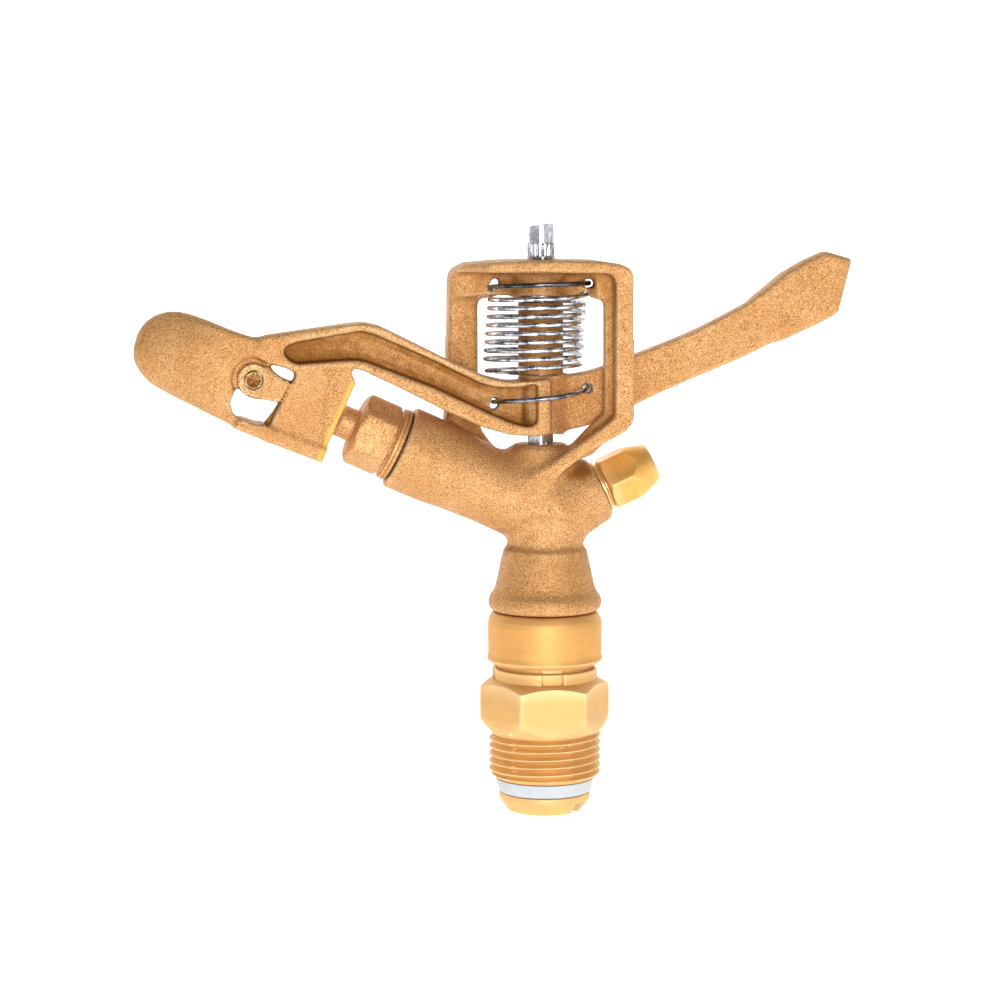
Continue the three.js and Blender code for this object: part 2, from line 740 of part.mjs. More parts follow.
const pinSpot = { x: -68.4, z: 103.2, boss: 4.3, hole: 2.1 };
const alongY = (radius, front, back) =>
  solid(
    new THREE.CylinderGeometry(radius, radius, back - front, ROUND).translate(
      pinSpot.x,
      (front + back) / 2,
      pinSpot.z,
    ),
  );
const spoonHead = cut(
  join(spoon, vanePlate, slab(lowerRail, vaneFront, 6.5)),
  slab(upperWindow, -20, 20),
  slab(lowerWindow, -20, 20),
);
const beam = cut(
  slab(beamOutline, ARM.front, ARM.back),
  slab(channelOutline, ARM.front - 1, -2.6),
  slab(channelOutline, 1.2, ARM.back + 1),
);
const armMetal = join(
  beam,
  spoonHead,
  alongY(pinSpot.boss, -7, -2.4),
  atFulcrum(rod(HUB.radius, HUB.foot, HUB.top)),
  slab(tailOutline, ARM.plateFront, ARM.plateBack),
  slab(counterweightOutline, ARM.plateFront, 6.5),
);
const armBore = atFulcrum(rod(HUB.bore, HUB.foot - 1, HUB.top + 1));
const vanePinHole = alongY(pinSpot.hole, -10, 5);
addPiece("arm_casting", cut(armMetal, armBore, armWireHoles, armWireRelief, vanePinHole), castBronze());

const bushSplit = 97;
const bush = (foot, top) => atFulcrum(ring(PIN.radius + 0.1, HUB.bore - 0.1, foot, top));
addPiece("arm_bush_lower", bush(thrustTop + GAP, bushSplit), turnedBrass());
addPiece("arm_bush_upper", bush(bushSplit + GAP, HUB.top), turnedBrass());
const sleeve = ring(PIN.radius + 0.35, SLEEVE.radius, HUB.top + GAP, SLEEVE.top);
addPiece("arm_sleeve", atFulcrum(sleeve), castBronze());

const dimple = solid(
  new THREE.ConeGeometry(1.3, 1.4, 20).translate(pinSpot.x, -6.9, pinSpot.z),
);
addPiece("vane_pin", cut(alongY(pinSpot.hole - 0.15, -7.4, 0.5), dimple), turnedBrass());

addPiece("arm_spring", wire(WIRE.radius, ...WIRE_ENDS), steel());

export default group;
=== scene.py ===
# Impact sprinkler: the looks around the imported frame. Shapes are worked out in millimetres and
# written to Blender in metres, in the frame's own axes.
import json
import math

import bpy
import numpy as np
import openvdb
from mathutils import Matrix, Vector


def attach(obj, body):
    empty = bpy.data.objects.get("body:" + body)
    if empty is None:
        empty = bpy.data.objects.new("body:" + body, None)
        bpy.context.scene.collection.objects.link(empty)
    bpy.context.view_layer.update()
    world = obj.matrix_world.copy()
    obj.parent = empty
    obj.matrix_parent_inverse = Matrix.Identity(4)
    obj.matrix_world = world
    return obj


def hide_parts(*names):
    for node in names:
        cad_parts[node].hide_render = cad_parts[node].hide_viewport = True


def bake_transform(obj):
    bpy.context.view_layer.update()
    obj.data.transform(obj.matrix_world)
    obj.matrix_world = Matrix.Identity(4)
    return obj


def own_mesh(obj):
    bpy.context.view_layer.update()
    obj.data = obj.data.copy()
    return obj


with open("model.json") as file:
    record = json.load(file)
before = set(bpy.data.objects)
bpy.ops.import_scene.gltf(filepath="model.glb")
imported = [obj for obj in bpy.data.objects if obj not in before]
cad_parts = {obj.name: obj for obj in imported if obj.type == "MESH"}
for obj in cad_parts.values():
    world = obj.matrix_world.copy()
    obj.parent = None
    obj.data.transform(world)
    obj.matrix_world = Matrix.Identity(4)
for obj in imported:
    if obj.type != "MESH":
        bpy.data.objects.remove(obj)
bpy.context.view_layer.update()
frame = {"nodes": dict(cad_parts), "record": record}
NODES = frame["nodes"]
MM = 0.001
CASTING_STEP = 0.4  # mm between the sample points of a casting
NEAR_REACH = 0.8  # mm round a point of a casting that is looked at for edges
SHELTER_RAYS = 40  # directions in which a casting's shelter is looked at
SHELTER_STEPS = (0.8, 1.8, 3, 4.4, 6, 8, 10.5, 13.5)  # mm out along each


# ---- Solids as signed distances on a grid, for the sand-cast pieces ----
class Grid:
    """A block of sample points in millimetres. Distances are negative inside a solid."""

    def __init__(self, low, high, step):
        self.low = np.array(low, float)
        self.step = step
        counts = np.ceil((np.array(high) - self.low) / step).astype(int) + 1
        axes = [self.low[i] + step * np.arange(counts[i]) for i in range(3)]
        self.x = axes[0].astype(np.float32)[:, None, None]
        self.y = axes[1].astype(np.float32)[None, :, None]
        self.z = axes[2].astype(np.float32)[None, None, :]

    def mesh(self, name, distance):
        """The surface where the distance is zero, as a smooth-shaded object in metres."""
        values = np.ascontiguousarray(np.broadcast_to(distance, self.shape()), dtype=np.float32)
        volume = openvdb.FloatGrid(float(4 * self.step))
        volume.copyFromArray(np.clip(values, -4 * self.step, 4 * self.step))
        volume.gridClass = openvdb.GridClass.LEVEL_SET
        points, triangles, quads = volume.convertToPolygons(isovalue=0.0, adaptivity=0.0)
        vertices = (points * self.step + self.low) * MM
        faces = [tuple(face[::-1]) for face in np.asarray(quads).tolist()]
        faces += [tuple(face[::-1]) for face in np.asarray(triangles).tolist()]
        piece = mesh_object(name, vertices, faces)
        filled = np.clip(0.5 - values / self.step, 0, 1).astype(np.float32)
        near = blurred(filled, max(1, round(NEAR_REACH / self.step)))
        # near_metal and shelter carry the casting material's painted edge highlight and painted shade in
        # the hollows.
        mark(piece, "near_metal", self.sample(near, points))
        mark(piece, "shelter", self.shelter(piece, values, points))
        return piece

    def shelter(self, piece, values, points):
        """How much of the view out from each point the piece itself blocks, 0 in the open to 1."""
        normals = np.empty(len(points) * 3, np.float32)
        piece.data.vertex_normals.foreach_get("vector", normals)
        normals = normals.reshape(-1, 3)
        blocked = np.zeros(len(points), np.float32)
        total = np.zeros(len(points), np.float32)
        limit = np.array(values.shape) - 1
        for k in range(SHELTER_RAYS):
            height = 1 - (2 * k + 1) / SHELTER_RAYS
            around = k * math.pi * (3 - math.sqrt(5))
            flat = math.sqrt(1 - height * height)
            ray = np.array([flat * math.cos(around), flat * math.sin(around), height], np.float32)
            facing = np.maximum(normals @ ray, 0)
            looking = np.nonzero(facing > 0.05)[0]
            hit = np.zeros(len(looking), bool)
            start = points[looking] + 1.6 * normals[looking]
            for far in SHELTER_STEPS:
                at = np.clip(np.rint(start + ray * (far / self.step)).astype(int), 0, limit)
                hit |= values[at[:, 0], at[:, 1], at[:, 2]] < 0
            weight = facing[looking]
            total[looking] += weight
            blocked[looking] += weight * hit
        return blocked / np.maximum(total, 1e-6)

    def sample(self, values, points):
        """Values at points given in steps from the grid's corner, blended between samples."""
        whole = np.clip(np.floor(points).astype(int), 0, np.array(values.shape) - 2)
        part = np.clip(points - whole, 0, 1)
        total = np.zeros(len(points), np.float32)
        for corner in range(8):
            offset = np.array([corner & 1, corner >> 1 & 1, corner >> 2])
            weight = np.prod(np.where(offset, part, 1 - part), axis=1)
            at = whole + offset
            total += (weight * values[at[:, 0], at[:, 1], at[:, 2]]).astype(np.float32)
        return total

    def shape(self):
        return (self.x.size, self.y.size, self.z.size)


def mark(piece, attribute, amounts):
    """Stores an amount a vertex, for the piece's material to read."""
    layer = piece.data.attributes.new(attribute, "FLOAT", "POINT")
    layer.data.foreach_set("value", amounts)


def union(a, b, fillet=0.0):
    """Both solids, with a fillet of that size where they meet."""
    if not fillet:
        return np.minimum(a, b)
    blend = np.maximum(fillet - np.abs(a - b), 0) / fillet
    return np.minimum(a, b) - blend * blend * fillet * 0.25


def carve(a, tool, rounding=0.0):
    """The first solid without the second, with the cut's edge rounded."""
    return -union(-a, tool, rounding)


def overlap(a, b, rounding=0.0):
    """What two solids share, with the edge between them rounded."""
    return -union(-a, -b, rounding)


def polygon_distance(u, v, corners):
    """Signed distance in a plane to a closed outline."""
    u, v = np.broadcast_arrays(u, v)
    best = np.full(u.shape, 1e9, np.float32)
    inside = np.zeros(u.shape, bool)
    for (ax, ay), (bx, by) in zip(corners, corners[1:] + corners[:1]):
        ex, ey = bx - ax, by - ay
        du, dv = u - ax, v - ay
        along = np.clip((du * ex + dv * ey) / (ex * ex + ey * ey), 0, 1)
        best = np.minimum(best, (du - ex * along) ** 2 + (dv - ey * along) ** 2)
        if ey:
            crosses = ((ay > v) != (by > v)) & (u < ex * (v - ay) / ey + ax)
            inside ^= crosses
    return np.where(inside, -np.sqrt(best), np.sqrt(best)).astype(np.float32)


def prism(flat, depth, edge=0.0):
    """A prism from its outline's distance and its ends' distance, with rounded edges."""
    a, b = flat + edge, depth + edge
    outside = np.sqrt(np.maximum(a, 0) ** 2 + np.maximum(b, 0) ** 2)
    return outside + np.minimum(np.maximum(a, b), 0) - edge


def slab(grid, corners, front, back, edge=0.6, soften=0.0):
    """A prism with its outline in XZ, between two Y values. soften rounds the outline's corners."""
    flat = polygon_distance(grid.x, grid.z, corners)
    if soften:
        flat = soften_outline(flat, grid.step, soften)
    return prism(flat, np.maximum(front - grid.y, grid.y - back), edge)


def plate(grid, corners, foot, top, edge):
    """A prism with its outline in XY, between two heights."""
    flat = polygon_distance(grid.x, grid.y, corners)
    return prism(flat, np.maximum(foot - grid.z, grid.z - top), edge)


def soften_outline(flat, step, radius):
    """An outline's distance averaged over a small square, so that its corners turn into curves."""
    return blurred(flat, max(1, int(round(radius / step))), (0, 2))


def blurred(values, reach, axes=(0, 1, 2)):
    """Values averaged over a box that reaches a number of samples each way along the axes."""
    width = 2 * reach + 1
    for axis in axes:
        before = [(reach + 1, reach) if i == axis else (0, 0) for i in range(3)]
        total = np.cumsum(np.pad(values, before, mode="edge"), axis=axis, dtype=np.float64)
        size = values.shape[axis]
        high = np.take(total, np.arange(width, width + size), axis=axis)
        low = np.take(total, np.arange(0, size), axis=axis)
        values = ((high - low) / width).astype(np.float32)
    return values


def about(grid, origin, axis):
    """Each sample point's distance from an axis, and its height along it."""
    dx, dy, dz = grid.x - origin[0], grid.y - origin[1], grid.z - origin[2]
    height = dx * axis[0] + dy * axis[1] + dz * axis[2]
    return np.sqrt(np.maximum(dx * dx + dy * dy + dz * dz - height * height, 0)), height


def turned(grid, profile, origin=(0, 0, 0), axis=(0, 0, 1)):
    """A body of revolution from a closed outline of (radius, height) corners along an axis."""
    return polygon_distance(*about(grid, origin, axis), profile)


def rod(grid, radius, foot, top, origin=(0, 0, 0), axis=(0, 0, 1)):
    """A cylinder along an axis, with square ends."""
    away, height = about(grid, origin, axis)
    return prism(away - radius, np.maximum(foot - height, height - top))


def rod_along_y(grid, radius, front, back, centre):
    away = np.sqrt((grid.x - centre[0]) ** 2 + (grid.z - centre[1]) ** 2)
    return prism(away - radius, np.maximum(front - grid.y, grid.y - back))


def wire_tunnel(grid, radius, path):
    """A tunnel along a list of points."""
    best = np.full(grid.shape(), 1e9, np.float32)
    for a, b in zip(path, path[1:]):
        e = [b[i] - a[i] for i in range(3)]
        length2 = sum(c * c for c in e)
        low = [min(a[i], b[i]) - 3 * radius for i in range(3)]
        high = [max(a[i], b[i]) + 3 * radius for i in range(3)]
        part = tuple(
            slice(
                max(0, int((low[i] - grid.low[i]) / grid.step)),
                max(0, int((high[i] - grid.low[i]) / grid.step) + 2),
            )
            for i in range(3)
        )
        dx, dy, dz = grid.x[part[0]] - a[0], grid.y[:, part[1]] - a[1], grid.z[:, :, part[2]] - a[2]
        along = np.clip((dx * e[0] + dy * e[1] + dz * e[2]) / length2, 0, 1)
        away = np.sqrt((dx - e[0] * along) ** 2 + (dy - e[1] * along) ** 2 + (dz - e[2] * along) ** 2)
        best[part] = np.minimum(best[part], away - radius)
    return best


# ---- Meshes ----
def mesh_object(name, vertices, faces, smooth=True):
    data = bpy.data.meshes.new(name)
    data.from_pydata([tuple(v) for v in np.asarray(vertices, float).tolist()], [], faces)
    data.validate()
    if smooth:
        data.polygons.foreach_set("use_smooth", [True] * len(data.polygons))
    piece = bpy.data.objects.new(name, data)
    bpy.context.scene.collection.objects.link(piece)
    return piece


def dress(piece, body, slot, material, *nodes):
    """Gives a piece its body and material, and hides the CAD nodes that it stands for. The slot is not
    used.
    """
    piece.data.materials.clear()
    piece.data.materials.append(material)
    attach(piece, body)
    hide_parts(*nodes)
    return piece


def apply_modifiers(piece):
    bpy.context.view_layer.update()
    done = bpy.data.meshes.new_from_object(piece.evaluated_get(bpy.context.evaluated_depsgraph_get()))
    piece.modifiers.clear()
    piece.data = done


def swept(name, rows, segments=192):
    """A closed skin round Z. Each row gives (radius, height) at an angle, and the rows form a loop."""
    vertices = []
    for row in rows:
        for i in range(segments):
            angle = 2 * math.pi * i / segments
            radius, height = row(angle) if callable(row) else row
            vertices.append((radius * math.cos(angle) * MM, radius * math.sin(angle) * MM, height * MM))
    faces = []
    count = len(rows)
    for j in range(count):
        for i in range(segments):
            after, above = (i + 1) % segments, (j + 1) % count
            faces.append((
                j * segments + i, j * segments + after, above * segments + after, above * segments + i,
            ))
    return mesh_object(name, vertices, faces)


def sharpen(piece, degrees=32):
    """Keeps true edges crisp in a smooth-shaded mesh."""
    data = piece.data
    data.set_sharp_from_angle(angle=math.radians(degrees))
    return piece


def rounded(profile, radius=0.25, steps=3):
    """A closed profile of (radius, height) corners with each corner turned to a small arc."""
    points = []
    for i, (x, y) in enumerate(profile):
        if x < 0.01:
            points.append((x, y))
            continue
        ends = []
        for other in (profile[i - 1], profile[(i + 1) % len(profile)]):
            dx, dy = other[0] - x, other[1] - y
            length = math.hypot(dx, dy)
            reach = min(radius, 0.45 * length)
            ends.append((x + dx / length * reach, y + dy / length * reach))
        for k in range(steps + 1):
            t = k / steps
            points.append(tuple(
                (1 - t) ** 2 * ends[0][n] + 2 * t * (1 - t) * (x, y)[n] + t * t * ends[1][n] for n in (0, 1)
            ))
    return points


def lathe(name, profile, radius=0.25, segments=128):
    return swept(name, rounded(profile, radius), segments)


def aim(piece, origin, axis):
    """Turns a piece made about Z so that it stands on a point and runs along an axis, keeping Y."""
    along = Vector(axis).normalized()
    side = Vector((0, 1, 0)) if abs(along.y) < 0.9 else Vector((1, 0, 0))
    third = side.cross(along).normalized()
    turn = Matrix((third, along.cross(third), along)).transposed().to_4x4()
    piece.data.transform(Matrix.Translation(Vector(origin) * MM) @ turn)
    return piece


def hexagon_radius(flats, corner=0.3, turn=0.0):
    """Radius of a hexagon with a flat facing -Y, with its corners slightly broken."""
    def radius(angle):
        part = (angle + turn + math.pi / 6 + math.pi / 2) % (math.pi / 3) - math.pi / 6
        sharp = flats / 2 / math.cos(part)
        limit = flats / 2 / math.cos(math.pi / 6) - corner * 0.35
        gap = sharp - limit
        if gap < -corner:
            return sharp
        return limit - (corner - gap) ** 2 / (4 * corner) if gap < corner else limit
    return radius


def smooth_line(points, steps=8):
    """A Catmull-Rom line through points, for outlines with long curves."""
    line = []
    for i in range(len(points) - 1):
        before = points[max(i - 1, 0)]
        a, b = points[i], points[i + 1]
        after = points[min(i + 2, len(points) - 1)]
        for k in range(steps):
            t = k / steps
            line.append(tuple(
                0.5 * (2 * a[n] + (b[n] - before[n]) * t
                       + (2 * before[n] - 5 * a[n] + 4 * b[n] - after[n]) * t * t
                       + (3 * a[n] - before[n] - 3 * b[n] + after[n]) * t ** 3)
                for n in (0, 1)
            ))
    return line + [points[-1]]


def tube(name, path, radius, sides=14):
    """A round wire along a path of points, with domed ends."""
    points = [Vector(p) for p in path]
    final = len(points) - 1
    tangents = [
        (points[min(i + 1, final)] - points[max(i - 1, 0)]).normalized() for i in range(final + 1)
    ]
    side = tangents[0].cross(Vector((0, 0, 1))).normalized()
    rings = []
    for point, tangent in zip(points, tangents):
        side = (side - tangent * side.dot(tangent)).normalized()
        rings.append((point, side, tangent.cross(side), radius))
    for end, sign in ((0, -1), (-1, 1)):
        point, across, up, _ = rings[end]
        domes = []
        for k in (1, 2, 3):
            round_off = math.pi / 2 * k / 3.2
            lift = radius * math.sin(round_off) * 0.7
            domes.append((point + tangents[end] * sign * lift, across, up, radius * math.cos(round_off)))
        rings = domes[::-1] + rings if end == 0 else rings + domes
    vertices = [
        (point + across * (math.cos(a) * size) + up * (math.sin(a) * size)) * MM
        for point, across, up, size in rings
        for a in (2 * math.pi * k / sides for k in range(sides))
    ]
    faces = [
        (j * sides + i, j * sides + (i + 1) % sides, (j + 1) * sides + (i + 1) % sides, (j + 1) * sides + i)
        for j in range(len(rings) - 1)
        for i in range(sides)
    ]
    last = (len(rings) - 1) * sides
    faces += [tuple(range(sides))[::-1], tuple(last + i for i in range(sides))]
    return mesh_object(name, vertices, faces)


# ---- Materials ----
LIT_BRONZE = (0.79, 0.44, 0.19)
MID_BRONZE = (0.67, 0.335, 0.115)
DEEP_BRONZE = (0.27, 0.095, 0.010)
HOLLOW_SHADE_BRONZE = (0.29, 0.11, 0.012)
PALE_SPECK_AND_EDGE_HIGHLIGHT_BRONZE = (0.95, 0.66, 0.36)
CUT_BRONZE = (0.82, 0.47, 0.11)


class Shader:
    """A material under construction, with its Principled shader and short ways to add nodes."""

    def __init__(self, name, **sockets):
        self.material = bpy.data.materials.new(name)
        self.material.use_nodes = True
        self.tree = self.material.node_tree
        self.surface = self.tree.nodes["Principled BSDF"]
        for socket, value in sockets.items():
            self.surface.inputs[socket.replace("_", " ")].default_value = value
        self.place = self.tree.nodes.new("ShaderNodeTexCoord").outputs["Object"]

    def link(self, output, node, socket):
        self.tree.links.new(output, node.inputs[socket])

    def node(self, kind, **settings):
        made = self.tree.nodes.new(kind)
        for name, value in settings.items():
            setattr(made, name, value)
        return made

    def noise(self, scale, detail=3.0, roughness=0.55, stretch=None):
        """Noise with a scale in features per metre. stretch scales the axes first."""
        noise = self.node("ShaderNodeTexNoise")
        noise.inputs["Scale"].default_value = scale
        noise.inputs["Detail"].default_value = detail
        noise.inputs["Roughness"].default_value = roughness
        place = self.place
        if stretch:
            mapping = self.node("ShaderNodeMapping")
            mapping.inputs["Scale"].default_value = stretch
            self.link(place, mapping, "Vector")
            place = mapping.outputs["Vector"]
        self.link(place, noise, "Vector")
        return noise.outputs["Fac"]

    def ramp(self, factor, stops):
        ramp = self.node("ShaderNodeValToRGB")
        while len(ramp.color_ramp.elements) < len(stops):
            ramp.color_ramp.elements.new(0.5)
        for element, (position, colour) in zip(ramp.color_ramp.elements, stops):
            element.position = position
            element.color = (*colour, 1) if len(colour) == 3 else colour
        self.link(factor, ramp, "Fac")
        return ramp.outputs["Color"]

    def spread(self, factor, low, high, from_low=0.3, from_high=0.7):
        """A value from low to high as the factor goes across its range."""
        remap = self.node("ShaderNodeMapRange")
        for socket, value in (
            ("From Min", from_low), ("From Max", from_high), ("To Min", low), ("To Max", high),
        ):
            remap.inputs[socket].default_value = value
        self.link(factor, remap, "Value")
        return remap.outputs["Result"]

    def mix(self, factor, a, b, blend="MIX"):
        mix = self.node("ShaderNodeMix", data_type="RGBA", blend_type=blend)
        if isinstance(factor, float):
            mix.inputs[0].default_value = factor
        else:
            self.link(factor, mix, 0)
        for socket, value in ((6, a), (7, b)):
            if isinstance(value, tuple):
                mix.inputs[socket].default_value = (*value, 1)
            else:
                self.link(value, mix, socket)
        return mix.outputs[2]

    def combine(self, operation, a, b):
        maths = self.node("ShaderNodeMath", operation=operation)
        for socket, value in ((0, a), (1, b)):
            if isinstance(value, (int, float)):
                maths.inputs[socket].default_value = value
            else:
                self.link(value, maths, socket)
        return maths.outputs["Value"]

    def bump(self, height, depth, after=None):
        """Bump of a depth in metres, laid over an earlier bump."""
        bump = self.node("ShaderNodeBump")
        bump.inputs["Distance"].default_value = depth
        self.link(height, bump, "Height")
        if after is not None:
            self.link(after, bump, "Normal")
        return bump.outputs["Normal"]

    def attribute(self, name):
        return self.node("ShaderNodeAttribute", attribute_name=name).outputs["Fac"]

    def edges(self):
        """1 on convex edges, 0 on flats and in hollows, from the mesh's own pointiness."""
        point = self.node("ShaderNodeNewGeometry").outputs["Pointiness"]
        return self.spread(point, 0.0, 1.0, 0.505, 0.56)

    def grooves(self):
        """1 down in sharp grooves and inner corners."""
        point = self.node("ShaderNodeNewGeometry").outputs["Pointiness"]
        return self.spread(point, 1.0, 0.0, 0.43, 0.49)

    def finish(self, colour=None, roughness=None, normal=None):
        for output, socket in ((colour, "Base Color"), (roughness, "Roughness"), (normal, "Normal")):
            if output is not None:
                self.link(output, self.surface, socket)
        return self.material


def sand_cast_bronze(name="sand_cast_bronze", grain=1.0, shaped=True, shade=0.0):
    """Bronze as it leaves the sand: a fine dark grain, paler on edges as a painted highlight, and brown
    down in the hollows as painted shade.
    """
    s = Shader(name, Metallic=0.45, Specular_IOR_Level=0.25)
    grains = s.noise(4000, 1.5, 0.6)
    specks = s.noise(2700, 2.0, 0.65)
    clumps = s.noise(480, 3.0, 0.6)
    patches = s.noise(75, 3.0, 0.5)
    body = s.ramp(patches, [(0.34, MID_BRONZE), (0.66, LIT_BRONZE)])
    if shaped:
        near = s.attribute("near_metal")
        # Painted shade: brown in the hollows, as far as the piece itself blocks the view out, made uneven
        # by noise.
        uneven = s.combine("MULTIPLY", s.combine("SUBTRACT", clumps, 0.5), 0.3)
        hollow_shade = s.combine("ADD", s.attribute("shelter"), uneven)
        body = s.mix(s.spread(hollow_shade, 0.0, 0.95, 0.06, 0.42), body, HOLLOW_SHADE_BRONZE)
        # Painted highlight: paler along convex edges, where little metal lies close round a point.
        body = s.mix(s.spread(near, 0.8, 0.0, 0.30, 0.46), body, PALE_SPECK_AND_EDGE_HIGHLIGHT_BRONZE)
    # shade paints the whole piece darker: painted shade.
    if shade:
        body = s.mix(shade, body, DEEP_BRONZE)
    dark = s.spread(grains, 1.0, 0.0, 0.4, 0.6)
    dark = s.combine("MULTIPLY", dark, s.spread(specks, 1.0, 0.3, 0.4, 0.64))
    dark = s.combine("MULTIPLY", dark, s.spread(clumps, 0.82, 1.0, 0.4, 0.6))
    colour = s.mix(dark, body, DEEP_BRONZE)
    # Pale specks of grain, in the same pale colour as the painted edge highlight.
    colour = s.mix(s.spread(grains, 0.0, 0.55, 0.60, 0.76), colour, PALE_SPECK_AND_EDGE_HIGHLIGHT_BRONZE)
    if shaped:
        colour = s.mix(s.attribute("machined"), colour, CUT_BRONZE)
    rough = s.spread(clumps, 0.40, 0.58)
    normal = s.bump(clumps, 0.00016 * grain)
    normal = s.bump(specks, 0.00014 * grain, normal)
    normal = s.bump(grains, 0.00012 * grain, normal)
    return s.finish(colour, rough, normal)


def turned_brass(name, tint, lathe=True, polish=0.0):
    """Brass, satin as it leaves the machine: fine rings round Z, or a straight grain on milled faces, with
    painted shade in its grooves and a painted highlight on its edges.
    """
    s = Shader(name, Metallic=0.6)
    stretch = (6, 6, 900) if lathe else (500, 500, 12)
    rings = s.noise(4.0, 4.0, 0.65, stretch)
    smears = s.noise(160, 3.0, 0.5)
    deep = tuple(c * 0.82 for c in tint)
    marks = s.combine("MULTIPLY", s.combine("ADD", rings, smears), 0.5)
    colour = s.ramp(marks, [(0.38, deep), (0.62, tint)])
    # Painted shade: darker down in sharp grooves and inner corners.
    colour = s.mix(s.combine("MULTIPLY", s.grooves(), 0.8), colour, tuple(c * 0.45 for c in tint))
    # Painted highlight: paler along convex edges.
    edge_highlight = s.mix(s.combine("MULTIPLY", s.edges(), 0.7), colour, (1.0, 0.80, 0.46))
    rough = s.spread(marks, 0.50 - polish, 0.66 - polish, 0.38, 0.62)
    return s.finish(edge_highlight, rough, s.bump(s.noise(2600, 2.0, 0.6), 0.00003, s.bump(rings, 0.000012)))


def drawn_steel(name, stretch, stain, strands=()):
    """Bright steel with stains. Each strand is a height where a wire is still bright, one where it
    is nearly black with painted shade, and how black it gets there."""
    s = Shader(name, Metallic=1.0)
    streaks = s.noise(1.0, 4.0, 0.65, stretch)
    stains = s.noise(420, 3.0, 0.6)
    colour = s.ramp(stains, [(0.34, stain), (0.50, (0.60, 0.62, 0.66)), (0.62, (0.86, 0.88, 0.91))])
    if strands:
        split = s.node("ShaderNodeSeparateXYZ")
        s.link(s.place, split, "Vector")
        for bright, black, share in strands:
            height = split.outputs["Z"]
            colour = s.mix(s.spread(height, 0.0, share, bright, black), colour, (0.05, 0.055, 0.065))
    return s.finish(colour, s.spread(streaks, 0.16, 0.38), s.bump(streaks, 0.00002))


def white_plastic():
    s = Shader("white_plastic", Subsurface_Weight=0.08)
    mottle = s.noise(240, 3.0, 0.55)
    colour = s.ramp(mottle, [(0.3, (0.52, 0.55, 0.59)), (0.7, (0.61, 0.64, 0.68))])
    return s.finish(colour, s.spread(mottle, 0.36, 0.52), s.bump(s.noise(1800, 2.0), 0.00003))


def rubber():
    s = Shader("black_rubber")
    bloom = s.noise(500, 4.0, 0.6)
    colour = s.ramp(bloom, [(0.35, (0.012, 0.012, 0.013)), (0.7, (0.045, 0.045, 0.048))])
    return s.finish(colour, s.spread(bloom, 0.6, 0.85), s.bump(bloom, 0.00005))


CAST = sand_cast_bronze()
CAST_FINE = sand_cast_bronze("fine_cast_bronze", 0.5, shaped=False)
# The arm's sleeve inside the spring: cast bronze painted darker all over, as painted shade.
CAST_SHADED = sand_cast_bronze("shaded_sleeve_bronze", 0.7, shaped=False, shade=0.62)
BRASS = turned_brass("turned_brass", (0.84, 0.50, 0.18))
COVER_BRASS = turned_brass("cover_brass", (0.84, 0.44, 0.13))
# Near-black brass for the nipple's slot and bore: painted shade.
SLOT_AND_BORE_SHADE = turned_brass("slot_and_bore_shade_brass", (0.06, 0.025, 0.006), lathe=False)
PLUG_BRASS = turned_brass("plug_brass", (0.90, 0.48, 0.11), lathe=False, polish=0.22)
PIN_BRASS = turned_brass("pin_brass", (0.40, 0.17, 0.03), lathe=False, polish=0.1)
STEEL = drawn_steel("drawn_steel", (900, 900, 60), (0.30, 0.32, 0.35))
# Painted shade on the arm spring's wire: near black where it runs up into the bridge and down to the arm.
SHADED_STRANDS = ((0.1224, 0.1234, 0.85), (0.1046, 0.1034, 0.55))
WIRE = drawn_steel("spring_wire", (300, 300, 900), (0.12, 0.13, 0.15), SHADED_STRANDS)
WHITE = white_plastic()
RUBBER = rubber()


# ---- The castings and the arm spring's wire, in millimetres ----
RANGE_MEETING = (0, 0, 71.3)  # the range outlet's axis meets the riser's axis here
RANGE_AXIS = (-math.cos(math.radians(24.5)), 0, math.sin(math.radians(24.5)))
SPREADER_MEETING = (0, 0, 70.6)
SPREADER_AXIS = (math.cos(math.radians(25)), 0, math.sin(math.radians(25)))
BARREL_FACE = 37.8
BARREL_BORE = 6.4
NOZZLE_SOCKET = 7.5
SOCKET_DEPTH = 9
SPREADER_FACE = 14.2
SPREADER_BORE = 3.0
SPREADER_SOCKET = 4.35
RISER_BORE = 6.6
NIPPLE_SOCKET = 8.8
PIN_HOLE = 3.3
FULCRUM = -1.1  # X of the arm's axis
VANE_PIN = (-68.4, 103.2)
VANE_FOOT = (-53.1, 84.3)  # the foot of the vane's machined inlet face
VANE_FACE_NORMAL = (0.909, -0.416)
CUT_WIDTH = 1.35
WIRE_COIL = 11.3
WIRE_RADIUS = 0.55
WIRE_TURNS = 9
WIRE_PITCH = 1.965
ARM_STRAND, FIRST_COIL, LAST_COIL, BRIDGE_STRAND = 98.6, 105.7, 121.42, 124.8  # heights
DRIFT_FOOT, DRIFT_TOP = -1.8, -0.6
WIRE_TUNNEL = 0.95  # radius of the castings' clearance round the wire
WIRE_HOLE = 1.05
BRIDGE_HOLES = ((-11.5, 124.75), (9.4, 124.75))
ARM_HOLES = ((-12.3, 96.6), (9.8, 100.1))


def wire_height(turn):
    """Height of the arm spring's wire, counted in turns from its lowest pass across the front."""
    if turn < 0:
        return ARM_STRAND + 6 * turn
    if turn < 1:
        return ARM_STRAND + (FIRST_COIL - ARM_STRAND) * (1 - (1 - turn) ** 1.25)
    if turn < WIRE_TURNS:
        return FIRST_COIL + WIRE_PITCH * (turn - 1)
    return LAST_COIL + (BRIDGE_STRAND - LAST_COIL) * min(turn - WIRE_TURNS, 1)


